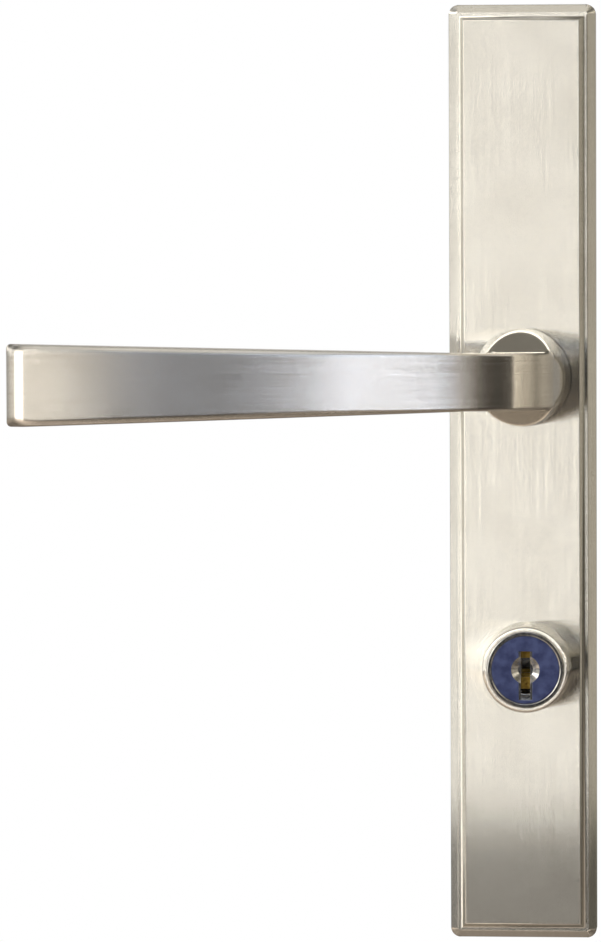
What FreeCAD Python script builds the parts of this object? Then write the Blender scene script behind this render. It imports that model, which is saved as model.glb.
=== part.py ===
"""Outside half of a storm-door handle set: plate, lever, return spring and key cylinder.

Frame: the origin is where the lever's axis crosses the back of the plate. +X is right, +Y is into
the door and +Z is up. The lever points to -X. A depth below is a distance in front of the back
face, so a point at depth d has y = -d, and a negative depth lies inside the door.
"""
import FreeCAD, Part
import math
import os
import re
import Sketcher

os.makedirs("parts", exist_ok=True)
doc = FreeCAD.newDocument("door_handle_set")
sheet = doc.addObject("Spreadsheet::Sheet", "dims")

SIZES = {
    # plate casting, seen from the front
    "plate_width": 38,
    "plate_height": 242.5,
    "plate_above_axis": 96.2,
    "plate_corner": 2.6,
    "side_wall": 4,
    "bevel_width": 2,
    "bevel_rise": 2.5,
    "ledge_width": 1.1,
    "step_width": 0.95,
    "step_rise": 2,
    "panel_edge_round": 0.35,
    # plate casting, seen from the back
    "panel_thickness": 2.5,
    "rim_width": 5,
    "cavity_corner": 2,
    "rib_thickness": 1.5,
    "rib_height": 3.5,
    "lug_thickness": 2,
    "lug_length": 2.4,
    "lug_inset": 0.3,
    # lever arm
    "lever_reach": 130.8,
    "arm_tip_height": 21.3,
    "arm_root_height": 14.7,
    "arm_tip_drop": 0.75,
    "tip_front_depth": 39.7,
    "tip_back_depth": 33.2,
    "root_back_depth": 32.4,
    "bow_radius": 940,
    "bow_end_distance": 20,
    "bow_end_depth": 39,
    "shoulder_radius": 190,
    "crease_distance": 1.5,
    "crease_depth": 36.8,
    "roll_radius": 13.1,
    "roll_end_distance": 8.9,
    "roll_end_depth": 27.6,
    "tip_front_round": 5.2,
    "tip_back_round": 1.3,
    "tip_corner_round": 3,
    # lever neck and journal
    "neck_base_radius": 12.75,
    "neck_taper": 0.084,
    "flat_top_depth": 30.5,
    "flat_slope": 0.32,
    "neck_gap": 0.3,
    "neck_rim": 1.4,
    "journal_radius": 7,
    "tail_radius": 6.2,
    "tail_half_flat": 5,
    "tail_end_depth": 0.3,
    "running_fit": 0.05,
    "seat_fit": 0.02,
    "end_play": 0.15,
    # lever bearing, driver and retaining ring
    "bushing_wall": 1,
    "flange_radius": 11,
    "flange_thickness": 0.6,
    "lever_boss_wall": 1.7,
    "lever_boss_end_depth": 2.6,
    "driver_radius": 10.3,
    "driver_thickness": 1,
    "ear_reach": 13.4,
    "ear_width": 6,
    "ring_outer_radius": 9,
    "ring_thickness": 0.55,
    "ring_groove_radius": 5.5,
    "ring_gap": 4,
    "lever_travel": 45,
    "stop_play": 1.5,
    # return spring
    "wire_radius": 0.45,
    "coil_radius": 10.85,
    "coil_pitch": 1,
    "coil_full_turns": 2,
    "spring_leg_reach": 13.3,
    "fixed_leg_angle": 330,
    "fixed_leg_play": 0.5,
    "tab_angle": 200,
    "tab_width": 2,
    "tab_radius": 12.7,
    "tab_depth_of_metal": 1.2,
    "tab_bend": 3.2,
    # spindle
    "spindle_side": 7,
    "spindle_length": 64,
    "spindle_inner_depth": 19,
    "socket_play": 0.08,
    "pin_radius": 1,
    "pin_depth": 5.6,
    # mounting posts
    "post_radius": 4,
    "post_reach": 30,
    "post_seat": 4.6,
    "post_wall": 1.6,
    "post_edge_distance": 24,
    "post_boss_end_depth": 1,
    "thread_radius": 1.65,
    "thread_length": 18,
    "post_bevel": 0.5,
    # lock boss on the plate
    "lock_drop": 75,
    "lock_offset": 1.15,
    "lock_boss_height": 9.5,
    "lock_boss_radius": 11.7,
    "lock_boss_top_radius": 11.1,
    "lock_boss_round": 0.7,
    # lock housing and nut
    "lip_radius": 9.85,
    "lip_thickness": 1.3,
    "lip_stand_out": 0.3,
    "lip_play": 0.17,
    "housing_radius": 9,
    "housing_end_depth": -8,
    "nut_half_flats": 11.5,
    "nut_thickness": 2.8,
    "washer_radius": 11.3,
    "washer_thickness": 0.6,
    # lock plug
    "plug_head_radius": 8.8,
    "plug_head_length": 1.7,
    "plug_radius": 6.35,
    "plug_fit": 0.07,
    "plug_end_depth": -13.4,
    "cover_thickness": 0.4,
    "cover_margin": 0.1,
    "dimple_radius": 3.65,
    "dimple_floor_radius": 2,
    "dimple_depth": 1.3,
    "key_slot_width": 2.4,
    "key_opening_width": 3.5,
    "key_slot_above": 4.8,
    "key_slot_below": 7.8,
    "key_slot_end_depth": -5,
    # wafers
    "wafer_count": 5,
    "first_wafer_depth": 14.2,
    "wafer_pitch": 3.2,
    "wafer_thickness": 1,
    "wafer_width": 7,
    "wafer_play": 0.08,
    "wafer_window_width": 2.9,
    "wafer_window_height": 5,
    "wafer_cut_step": 0.4,
    "wafer_spring_radius": 0.5,
    "wafer_spring_length": 3,
    "wafer_spring_bore": 0.25,
    # clip and tailpiece
    "clip_groove_radius": 5.6,
    "clip_outer_radius": 8.6,
    "clip_thickness": 0.7,
    "clip_play": 0.15,
    "clip_gap": 4,
    "tailpiece_width": 6.4,
    "tailpiece_thickness": 1.6,
    "tailpiece_seat": 3.4,
    "tailpiece_end_depth": -48,
    "tailpiece_pin_radius": 0.75,
    "tailpiece_pin_inset": 1.8,
}
for row, (alias, size) in enumerate(SIZES.items(), start=1):
    sheet.set(f"A{row}", alias)
    sheet.set(f"B{row}", str(size))
    sheet.setAlias(f"B{row}", alias)
doc.recompute()

# Cut heights of the five wafers, in steps of wafer_cut_step, as one key would have them.
WAFER_CUTS = [1, 3, 2, 4, 2]

# Planes across the plate, as depths in front of its back face.
LEDGE = "(side_wall + bevel_rise)"
PANEL = f"({LEDGE} + step_rise)"
CEILING = f"({PANEL} - panel_thickness)"
RIB_FACE = f"({CEILING} - rib_height)"
NECK_BASE = f"({PANEL} + neck_gap)"
FLANGE_FACE = f"({PANEL} + flange_thickness)"
BUSHING_END = "(lever_boss_end_depth + seat_fit)"
DRIVER_FRONT = f"({BUSHING_END} - end_play)"
DRIVER_BACK = f"({DRIVER_FRONT} - driver_thickness)"
RING_BACK = f"({DRIVER_BACK} - running_fit - ring_thickness)"
LOCK_FACE = f"({PANEL} + lock_boss_height)"
LIP_FACE = f"({LOCK_FACE} + lip_stand_out)"
LIP_SEAT = f"({LIP_FACE} - lip_thickness)"
COVER_FACE = f"({LIP_FACE} - cover_margin)"
HEAD_FACE = f"({COVER_FACE} - cover_thickness)"
HEAD_BACK = f"({HEAD_FACE} - plug_head_length)"
CLIP_FRONT = "(housing_end_depth - clip_play)"
CLIP_BACK = f"({CLIP_FRONT} - clip_thickness)"

# Distances across.
HALF_WIDTH = "(plate_width/2)"
PLATE_BOTTOM = "(plate_above_axis - plate_height)"
BUSHING_RADIUS = "(journal_radius + running_fit + bushing_wall)"
PANEL_INSET = "(bevel_width + ledge_width)"
CAVITY_HALF = f"({HALF_WIDTH} - rim_width)"
POST_BOSS_RADIUS = "(post_radius + post_wall)"
UPPER_POST = "(plate_above_axis - post_edge_distance)"
LOCK_FOOT = "(lock_drop + lock_boss_radius)"
LOWER_POST = f"(({PLATE_BOTTOM} - {LOCK_FOOT})/2)"
NUT_CORNER = "(nut_half_flats/cos(30))"

# How near two lengths, in millimetres, count as one place when an edge is looked up.
NEAR = 0.001


def bound(text):
    """Return an expression with each size's alias turned into its cell of the sheet."""
    return re.sub(r"[a-z_]+", lambda m: "dims." + m.group() if m.group() in SIZES else m.group(), text)


def size(text):
    """Return the present value of an expression, as a plain number."""
    return float(sheet.evalExpression(bound(text)))


def new_body(name):
    body = doc.addObject("PartDesign::Body", name)
    body.Label = name
    return body


def new_sketch(body, name, role, offset="0"):
    """Attach a sketch to one of the body's own planes. The XZ plane's offset is a depth."""
    sketch = body.newObject("Sketcher::SketchObject", name)
    plane = next(item for item in body.Origin.OriginFeatures if item.Role == role)
    sketch.AttachmentSupport = [(plane, "")]
    sketch.MapMode = "FlatFace"
    sketch.setExpression("AttachmentOffset.Base.z", bound(offset))
    return sketch


def pin_point(sketch, edge, end, x, y):
    """Hold one end of an edge, or a circle's centre, at a bound place."""
    for kind, text in (("DistanceX", x), ("DistanceY", y)):
        index = sketch.addConstraint(Sketcher.Constraint(kind, edge, end, size(text)))
        sketch.setExpression(f"Constraints[{index}]", bound(text))


def pin_radius(sketch, edge, radius):
    index = sketch.addConstraint(Sketcher.Constraint("Radius", edge, size(radius)))
    sketch.setExpression(f"Constraints[{index}]", bound(radius))


def add_circle(sketch, x, y, radius):
    centre = FreeCAD.Vector(size(x), size(y), 0)
    edge = sketch.addGeometry(Part.Circle(centre, FreeCAD.Vector(0, 0, 1), size(radius)), False)
    pin_point(sketch, edge, 3, x, y)
    pin_radius(sketch, edge, radius)


def add_outline(sketch, points, arcs=None):
    """Draw a closed outline. arcs maps an edge's number to (radius, side), where side is 1 for
    an arc that bulges to the left of the way of travel and -1 for one that bulges right."""
    arcs = arcs or {}
    places = [FreeCAD.Vector(size(x), size(y), 0) for x, y in points]
    for number, (start, text) in enumerate(zip(places, points)):
        end = places[(number + 1) % len(places)]
        end_text = points[(number + 1) % len(points)]
        half_chord = (end - start).Length / 2
        if number not in arcs:
            edge = sketch.addGeometry(Part.LineSegment(start, end), False)
        else:
            radius, side = arcs[number]
            chord = end - start
            sagitta = size(radius) - math.sqrt(size(radius) ** 2 - half_chord ** 2)
            left = FreeCAD.Vector(-chord.y, chord.x, 0).normalize()
            middle = (start + end) * 0.5 + left * (side * sagitta)
            edge = sketch.addGeometry(Part.Arc(start, middle, end), False)
            pin_radius(sketch, edge, radius)
        first = 1 if (sketch.getPoint(edge, 1) - start).Length < half_chord else 2
        pin_point(sketch, edge, first, *text)
        pin_point(sketch, edge, 3 - first, *end_text)


def add_box(sketch, left, low, right, high):
    add_outline(sketch, [(left, low), (right, low), (right, high), (left, high)])


def pad(sketch, name, length, both_ways=False, backwards=False):
    body = sketch.getParentGeoFeatureGroup()
    feature = body.newObject("PartDesign::Pad", name)
    feature.Profile = sketch
    feature.setExpression("Length", bound(length))
    if both_ways:
        feature.SideType = "Symmetric"
    feature.Reversed = backwards
    doc.recompute()
    return feature


def pocket(sketch, name, length, forwards=False):
    """Cut along the sketch. forwards means along its normal, towards the viewer for XZ."""
    body = sketch.getParentGeoFeatureGroup()
    feature = body.newObject("PartDesign::Pocket", name)
    feature.Profile = sketch
    feature.setExpression("Length", bound(length))
    feature.Reversed = forwards
    doc.recompute()
    return feature


def turn(sketch, name, kind="Revolution"):
    """Turn a sketch on the XY plane about the body's own Y axis."""
    body = sketch.getParentGeoFeatureGroup()
    feature = body.newObject("PartDesign::" + kind, name)
    feature.Profile = sketch
    feature.ReferenceAxis = (sketch, ["V_Axis"])
    doc.recompute()
    return feature


def round_edges(body, name, radius, wanted):
    """Fillet the edges of the body's newest feature for which wanted(edge) holds."""
    base = body.Tip
    names = [f"Edge{i}" for i, edge in enumerate(base.Shape.Edges, start=1) if wanted(edge)]
    feature = body.newObject("PartDesign::Fillet", name)
    feature.Base = (base, names)
    feature.setExpression("Radius", bound(radius))
    doc.recompute()
    return feature


def at_depth(edge, depth):
    box = edge.BoundBox
    return abs(box.YMin + depth) < NEAR and abs(box.YMax + depth) < NEAR


def along(edge, axis):
    """Say whether an edge is straight and runs along the axis with this number."""
    if edge.Curve.TypeId != "Part::GeomLine":
        return False
    way = edge.tangentAt(edge.FirstParameter)
    return abs(abs(way[axis]) - 1) < NEAR


def upright_at(edge, x, depth):
    """Say whether an edge runs along Z at this place in plan."""
    middle = edge.CenterOfMass
    return along(edge, 2) and abs(middle.x - size(x)) < NEAR and abs(middle.y + size(depth)) < NEAR


def turned_profile(body, name, points):
    """Turn a closed profile of (radius, depth) points into a solid about the Y axis."""
    sketch = new_sketch(body, name + "_profile", "XY_Plane")
    add_outline(sketch, [(radius, f"-({depth})") for radius, depth in points])
    return turn(sketch, name)


def place(item, x="0", depth="0", z="0", rotation=None):
    if rotation:
        item.Placement.Rotation = rotation
    item.setExpression("Placement.Base.x", bound(x))
    item.setExpression("Placement.Base.y", bound(f"-({depth})"))
    item.setExpression("Placement.Base.z", bound(z))


BACKWARD = FreeCAD.Rotation(FreeCAD.Vector(1, 0, 0), -90)
FORWARD = FreeCAD.Rotation(FreeCAD.Vector(1, 0, 0), 90)
SIDEWAYS = FreeCAD.Rotation(FreeCAD.Vector(0, 1, 0), 90)


def make_plate():
    """One zinc die casting: bevelled base, raised panel, lock boss, and a hollow back."""
    body = new_body("escutcheon_plate")
    base = new_sketch(body, "base_outline", "XZ_Plane")
    add_box(base, f"-{HALF_WIDTH}", PLATE_BOTTOM, HALF_WIDTH, "plate_above_axis")
    pad(base, "base", LEDGE)
    round_edges(body, "base_corners", "plate_corner", lambda edge: along(edge, 1))

    bevel = body.newObject("PartDesign::Chamfer", "bevel")
    base_solid = body.getObject("base_corners")
    front = size(LEDGE)
    rim = [f"Edge{i}" for i, e in enumerate(base_solid.Shape.Edges, start=1) if at_depth(e, front)]
    bevel.Base = (base_solid, rim)
    bevel.ChamferType = "Two distances"
    bevel.setExpression("Size", bound("bevel_rise"))
    bevel.setExpression("Size2", bound("bevel_width"))
    doc.recompute()

    # The raised panel is a wedge: its ledge end is wider than its face by the sloped step.
    panel = body.newObject("PartDesign::AdditiveWedge", "panel")
    face_inset = f"({PANEL_INSET} + step_width)"
    for name, text in (("Ymin", f"-{PANEL}"), ("Ymax", f"-{LEDGE}"),
                       ("Xmin", f"{face_inset} - {HALF_WIDTH}"), ("Xmax", f"{HALF_WIDTH} - {face_inset}"),
                       ("X2min", f"{PANEL_INSET} - {HALF_WIDTH}"), ("X2max", f"{HALF_WIDTH} - {PANEL_INSET}"),
                       ("Zmin", f"{PLATE_BOTTOM} + {face_inset}"), ("Zmax", f"plate_above_axis - {face_inset}"),
                       ("Z2min", f"{PLATE_BOTTOM} + {PANEL_INSET}"), ("Z2max", f"plate_above_axis - {PANEL_INSET}")):
        setattr(panel, name, size(text))
        panel.setExpression(name, bound(text))
    doc.recompute()
    front = size(PANEL)
    round_edges(body, "panel_edge", "panel_edge_round", lambda edge: at_depth(edge, front))

    boss = body.newObject("PartDesign::AdditiveCone", "lock_boss")
    boss.setExpression("Radius1", bound("lock_boss_radius"))
    boss.setExpression("Radius2", bound("lock_boss_top_radius"))
    boss.setExpression("Height", bound("(lock_boss_height + seat_fit)"))
    place(boss, "lock_offset", f"{PANEL} - seat_fit", "-lock_drop", FORWARD)
    doc.recompute()
    front = size(LOCK_FACE)
    round_edges(body, "lock_boss_edge", "lock_boss_round", lambda edge: at_depth(edge, front))

    cavity = new_sketch(body, "cavity_outline", "XZ_Plane")
    low = f"{PLATE_BOTTOM} + rim_width"
    high = "plate_above_axis - rim_width"
    add_box(cavity, f"-{CAVITY_HALF}", low, CAVITY_HALF, high)
    pocket(cavity, "cavity", CEILING, forwards=True)
    reach = size(CAVITY_HALF)
    round_edges(body, "cavity_corners", "cavity_corner",
                lambda edge: along(edge, 1) and abs(abs(edge.CenterOfMass.x) - reach) < NEAR)

    inside = f"{CEILING} + seat_fit"
    ribs = new_sketch(body, "rib_outlines", "XZ_Plane", RIB_FACE)
    rib_reach = f"({CAVITY_HALF} + seat_fit)"
    low_rib = f"(({LOWER_POST} + {POST_BOSS_RADIUS} - lock_drop - {NUT_CORNER})/2)"
    for middle in (f"{UPPER_POST}/2", "-lock_drop/2", low_rib):
        add_box(ribs, f"-{rib_reach}", f"{middle} - rib_thickness/2", rib_reach, f"{middle} + rib_thickness/2")
    pad(ribs, "ribs", f"{inside} - {RIB_FACE}")

    bosses = new_sketch(body, "post_boss_outlines", "XZ_Plane", "post_boss_end_depth")
    for post in (UPPER_POST, LOWER_POST):
        add_circle(bosses, "0", post, POST_BOSS_RADIUS)
    pad(bosses, "post_bosses", f"{inside} - post_boss_end_depth")
    holes = new_sketch(body, "post_hole_outlines", "XZ_Plane", "post_boss_end_depth")
    for post in (UPPER_POST, LOWER_POST):
        add_circle(holes, "0", post, "post_radius + seat_fit")
    pocket(holes, "post_holes", "post_seat", forwards=True)

    lever_boss = new_sketch(body, "lever_boss_outline", "XZ_Plane", "lever_boss_end_depth")
    add_circle(lever_boss, "0", "0", f"{BUSHING_RADIUS} + lever_boss_wall")
    pad(lever_boss, "lever_boss", f"{inside} - lever_boss_end_depth")
    bore = new_sketch(body, "lever_bore_outline", "XZ_Plane")
    add_circle(bore, "0", "0", f"{BUSHING_RADIUS} + seat_fit")
    pocket(bore, "lever_bore", f"{PANEL} + seat_fit", forwards=True)

    # The driver's ear stops against two of these lugs, and the spring's fixed leg on the third.
    lugs = new_sketch(body, "lug_outlines", "XZ_Plane", DRIVER_BACK)
    half_ear = "(ear_width/2 + stop_play)"
    for side in (-1, 1):
        turned = f"({side}*lever_travel/2)"
        inner_x = f"(ear_reach*sin{turned} + {side}*{half_ear}*cos{turned})"
        inner_y = f"(ear_reach*cos{turned} - {half_ear}*sin(lever_travel/2) - lug_length/2)"
        outer_x = f"({inner_x} + {side}*lug_thickness)"
        left, right = (inner_x, outer_x) if side > 0 else (outer_x, inner_x)
        add_box(lugs, left, f"{inner_y} - lug_length/2", right, f"{inner_y} + lug_length/2")
    anchor_x = "(tab_radius*cos(fixed_leg_angle))"
    leg_top = "(tab_radius*sin(fixed_leg_angle) + wire_radius/cos(fixed_leg_angle))"
    anchor_y = f"({leg_top} + fixed_leg_play + lug_thickness/2)"
    add_box(lugs, f"{anchor_x} - lug_inset", f"{anchor_y} - lug_thickness/2",
            f"{anchor_x} + lug_length", f"{anchor_y} + lug_thickness/2")
    pad(lugs, "lugs", f"{inside} - {DRIVER_BACK}")

    lock_bore = new_sketch(body, "lock_bore_outline", "XZ_Plane")
    add_circle(lock_bore, "lock_offset", "-lock_drop", "housing_radius + seat_fit")
    pocket(lock_bore, "lock_bore", f"{LOCK_FACE} + seat_fit", forwards=True)
    lip_seat = new_sketch(body, "lip_seat_outline", "XZ_Plane", LIP_SEAT)
    add_circle(lip_seat, "lock_offset", "-lock_drop", "lip_radius + lip_play")
    pocket(lip_seat, "lip_seat", "lip_thickness", forwards=True)
    return body


def make_lever():
    """One casting: bowed tapering arm, rolled elbow, conical neck and journal."""
    body = new_body("lever")
    plan = new_sketch(body, "plan_outline", "XY_Plane")
    wall = "(neck_base_radius + neck_gap)"
    # The elbow's straight end meets the cone of the neck a little above the base.
    points = [
        ("-lever_reach", "-tip_front_depth"),
        ("-bow_end_distance", "-bow_end_depth"),
        ("-crease_distance", "-crease_depth"),
        ("roll_end_distance", "-roll_end_depth"),
        (wall, f"-{NECK_BASE}"),
        (f"-{wall}", f"-{NECK_BASE}"),
        (f"-{wall}", "-root_back_depth"),
        ("-lever_reach", "-tip_back_depth"),
    ]
    add_outline(plan, points, {0: ("bow_radius", -1), 1: ("shoulder_radius", -1), 2: ("roll_radius", -1)})
    # The block and the cuts through it are made this much larger than the neck.
    block = "(4*neck_base_radius)"
    pad(plan, "plan_block", block, both_ways=True)
    for end in ("tip_front", "tip_back"):
        round_edges(body, end, end + "_round", lambda edge: upright_at(edge, "-lever_reach", end + "_depth"))

    # The arm's taper: all that lies above or below its front outline comes off.
    outside = new_sketch(body, "arm_waste_outlines", "XZ_Plane", "flat_top_depth")
    for side in (1, -1):
        root = f"({side}*arm_root_height/2)"
        tip = f"({side}*arm_tip_height/2 - arm_tip_drop)"
        far = f"({side}*{block})"
        end = f"(-lever_reach - {block})"
        tip_slope = f"(({root} - {tip})/(lever_reach - {wall}))"
        corner = f"({tip} - {side}*tip_corner_round)"
        add_outline(outside, [(end, far), (end, corner), ("-lever_reach", corner),
                              ("tip_corner_round - lever_reach", f"{tip} + {tip_slope}*tip_corner_round"),
                              (f"-{wall}", root), (block, root), (block, far)],
                    {2: ("tip_corner_round", side)})
    pocket(outside, "arm_taper", block, forwards=True)

    # The two sloped flats above and below the neck.
    slopes = new_sketch(body, "flat_waste_outlines", "YZ_Plane")
    for side in (1, -1):
        edge = f"({side}*arm_root_height/2)"
        foot = f"({edge} + {side}*flat_slope*flat_top_depth)"
        far = f"({side}*{block})"
        add_outline(slopes, [("-flat_top_depth", edge), ("0", foot), ("0", far), ("-flat_top_depth", far)])
    cut = pocket(slopes, "neck_flats", block)
    cut.SideType = "Symmetric"
    doc.recompute()

    # The cone of the neck, up to just behind the arm.
    cone = new_sketch(body, "neck_waste_outline", "XY_Plane")
    top = "root_back_depth"
    top_radius = f"(neck_base_radius - neck_taper*({top} - {NECK_BASE}))"
    far = f"({wall} + neck_base_radius)"
    add_outline(cone, [("neck_base_radius", f"-{NECK_BASE}"), (far, f"-{NECK_BASE}"),
                       (far, f"-{top}"), (top_radius, f"-{top}")])
    turn(cone, "neck_cone", "Groove")
    return body


def add_journal(body):
    """Add the journal behind the neck, its tail, and what is cut into them."""
    relief = new_sketch(body, "flange_relief_outline", "XZ_Plane", NECK_BASE)
    add_circle(relief, "0", "0", "neck_base_radius - neck_rim")
    pocket(relief, "flange_relief", f"{FLANGE_FACE} + end_play - {NECK_BASE}", forwards=True)
    journal = new_sketch(body, "journal_outline", "XZ_Plane", DRIVER_FRONT)
    add_circle(journal, "0", "0", "journal_radius")
    pad(journal, "journal", f"{NECK_BASE} + neck_rim - {DRIVER_FRONT}")
    tail = new_sketch(body, "tail_outline", "XZ_Plane", "tail_end_depth")
    add_double_d(tail, "tail_radius", "tail_half_flat")
    pad(tail, "tail", f"{DRIVER_FRONT} - tail_end_depth + seat_fit")
    groove = new_sketch(body, "ring_groove_outline", "XY_Plane")
    far = "(tail_radius + ring_thickness)"
    low = f"-({RING_BACK} - running_fit)"
    high = f"-({RING_BACK} + ring_thickness + running_fit)"
    add_outline(groove, [("ring_groove_radius", low), (far, low), (far, high), ("ring_groove_radius", high)])
    turn(groove, "ring_groove", "Groove")
    socket = new_sketch(body, "socket_outline", "XZ_Plane")
    half = "(spindle_side/2 + socket_play)"
    add_box(socket, f"-{half}", f"-{half}", half, half)
    pocket(socket, "socket", "spindle_inner_depth + socket_play", forwards=True)
    cross = new_sketch(body, "pin_hole_outline", "YZ_Plane")
    add_circle(cross, "-pin_depth", "0", "pin_radius + seat_fit")
    hole = pocket(cross, "pin_hole", "4*journal_radius")
    hole.SideType = "Symmetric"
    doc.recompute()


def add_double_d(sketch, radius, half_flat):
    """Draw a circle of this radius with two flats, one each side of the middle."""
    rise = f"sqrt(({radius})^2 - ({half_flat})^2)"
    right = f"({half_flat})"
    add_outline(sketch, [(right, f"-{rise}"), (right, rise), (f"-{right}", rise), (f"-{right}", f"-{rise}")],
                {1: (radius, -1), 3: (radius, -1)})


def make_bushing():
    body = new_body("lever_bushing")
    inner = "(journal_radius + running_fit)"
    points = [(inner, BUSHING_END), (BUSHING_RADIUS, BUSHING_END), (BUSHING_RADIUS, PANEL),
              ("flange_radius", PANEL), ("flange_radius", FLANGE_FACE), (inner, FLANGE_FACE)]
    turned_profile(body, "bushing", points)
    return body


def make_driver():
    """A stamped plate on the journal's tail, with an ear between the stops and a bent tab."""
    body = new_body("lever_driver")
    disc = new_sketch(body, "driver_outline", "XZ_Plane", DRIVER_BACK)
    add_circle(disc, "0", "0", "driver_radius")
    pad(disc, "disc", "driver_thickness")
    ear = new_sketch(body, "ear_outline", "XZ_Plane", DRIVER_BACK)
    # The ear starts half the travel to the right of straight up, and ends as far to the left.
    inside_disc = "(driver_radius/2)"
    add_outline(ear, spoke_corners(inside_disc, "ear_reach", "(90 - lever_travel/2)", "ear_width"))
    pad(ear, "ear", "driver_thickness")
    tab = new_sketch(body, "tab_outline", "XZ_Plane", DRIVER_BACK)
    tab_end = "(tab_radius + tab_depth_of_metal/2)"
    add_outline(tab, spoke_corners(inside_disc, tab_end, "tab_angle", "tab_width"))
    pad(tab, "tab", "driver_thickness")
    finger = new_sketch(body, "finger_outline", "XZ_Plane", DRIVER_BACK)
    add_outline(finger, spoke_corners("tab_radius - tab_depth_of_metal/2", tab_end, "tab_angle", "tab_width"))
    pad(finger, "finger", "tab_bend")
    hole = new_sketch(body, "tail_hole_outline", "XZ_Plane", DRIVER_BACK)
    add_double_d(hole, "tail_radius + seat_fit", "tail_half_flat + seat_fit")
    pocket(hole, "tail_hole", "driver_thickness", forwards=True)
    return body


def spoke_corners(inner, outer, angle, width):
    """Return the corners of a bar that points outwards from the axis at this angle."""
    corners = []
    for reach, side in ((inner, -1), (outer, -1), (outer, 1), (inner, 1)):
        x = f"(({reach})*cos({angle}) - {side}*({width})/2*sin({angle}))"
        y = f"(({reach})*sin({angle}) + {side}*({width})/2*cos({angle}))"
        corners.append((x, y))
    return corners


def make_ring(name, groove, outer, back, thickness, gap):
    """A flat C-shaped ring, open at the bottom, that sits in a groove round a shaft."""
    body = new_body(name)
    flat = new_sketch(body, name + "_outline", "XZ_Plane", back)
    add_circle(flat, "0", "0", outer)
    add_circle(flat, "0", "0", f"{groove} + running_fit")
    pad(flat, name + "_flat", thickness)
    mouth = new_sketch(body, name + "_mouth_outline", "XZ_Plane", back)
    add_box(mouth, f"-{gap}/2", f"-2*{outer}", f"{gap}/2", "0")
    pocket(mouth, name + "_mouth", thickness, forwards=True)
    return body


def new_cylinder(name, radius, height, x, depth, z, rotation):
    item = doc.addObject("Part::Cylinder", name)
    item.setExpression("Radius", bound(radius))
    item.setExpression("Height", bound(height))
    place(item, x, depth, z, rotation)
    return item


def fuse(name, *shapes):
    item = doc.addObject("Part::MultiFuse", name)
    item.Shapes = list(shapes)
    item.Label = name
    return item


def cut(name, base, tool):
    item = doc.addObject("Part::Cut", name)
    item.Base = base
    item.Tool = tool
    item.Label = name
    return item


def make_spring():
    """Torsion spring round the lever boss, with a straight radial leg at each end."""
    tab_lead = "(asin((tab_width/2 + wire_radius + running_fit)/tab_radius)/1deg)"
    part_turn = f"(fixed_leg_angle - tab_angle - {tab_lead})"
    rise = f"(coil_pitch*(coil_full_turns + {part_turn}/360))"
    start = f"({CEILING} - wire_radius - end_play)"
    coil = doc.addObject("Part::Helix", "coil_path")
    coil.setExpression("Radius", bound("coil_radius"))
    coil.setExpression("Pitch", bound("coil_pitch"))
    coil.setExpression("Height", bound(rise))
    place(coil, depth=start, rotation=BACKWARD)
    wire = doc.addObject("Part::Circle", "wire_section")
    wire.setExpression("Radius", bound("wire_radius"))
    place(wire, x="coil_radius", depth=start)
    doc.recompute()
    tube = doc.addObject("Part::Sweep", "coil_tube")
    tube.Sections = [wire]
    tube.Spine = (coil, ["Edge1"])
    tube.Solid = True
    tube.Frenet = True
    legs = []
    for name, angle, depth in (("fixed_leg", "0", start), ("moving_leg", part_turn, f"{start} - {rise}")):
        leg = new_cylinder(name, "wire_radius", "spring_leg_reach - coil_radius", f"coil_radius*cos({angle})",
                           depth, f"-coil_radius*sin({angle})", SIDEWAYS)
        leg.Placement.Rotation = FreeCAD.Rotation(FreeCAD.Vector(0, 1, 0), 90 + size(angle))
        legs.append(leg)
    spring = fuse("lever_return_spring", tube, *legs)
    spring.Placement.Rotation = FreeCAD.Rotation(FreeCAD.Vector(0, 1, 0), -size("fixed_leg_angle"))
    return spring


def make_spindle():
    body = new_body("spindle")
    square = new_sketch(body, "spindle_outline", "XZ_Plane", "spindle_inner_depth")
    half = "(spindle_side/2)"
    add_box(square, f"-{half}", f"-{half}", half, half)
    pad(square, "bar", "spindle_length", backwards=True)
    cross = new_sketch(body, "spindle_hole_outline", "YZ_Plane")
    add_circle(cross, "-pin_depth", "0", "pin_radius + seat_fit")
    hole = pocket(cross, "spindle_hole", "2*spindle_side")
    hole.SideType = "Symmetric"
    pin_half = "(journal_radius - running_fit)"
    pin = new_cylinder("spindle_pin", "pin_radius", f"2*{pin_half}", f"-{pin_half}", "pin_depth", "0", SIDEWAYS)
    return body, pin


def make_posts():
    """Two steel posts, pressed into the plate and tapped for the inside half's screws."""
    posts = []
    front = "(post_boss_end_depth + post_seat - seat_fit)"
    for name, height in (("upper_post", UPPER_POST), ("lower_post", LOWER_POST)):
        rod = new_cylinder(name + "_rod", "post_radius", f"{front} + post_reach", "0", front, height, BACKWARD)
        tip = doc.addObject("Part::Cone", name + "_bevel")
        tip.setExpression("Radius1", bound("post_radius"))
        tip.setExpression("Radius2", bound("post_radius - post_bevel"))
        tip.setExpression("Height", bound("post_bevel"))
        place(tip, "0", "-post_reach", height, BACKWARD)
        whole = fuse(name + "_solid", rod, tip)
        thread = new_cylinder(name + "_thread", "thread_radius", "thread_length", "0",
                              "-(post_reach + post_bevel - thread_length)", height, BACKWARD)
        posts.append(cut(name, whole, thread))
    group = doc.addObject("Part::Compound", "mounting_posts")
    group.Links = posts
    group.Label = "mounting_posts"
    return group


def on_lock_axis(item):
    place(item, x="lock_offset", z="-lock_drop")
    return item


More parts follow.
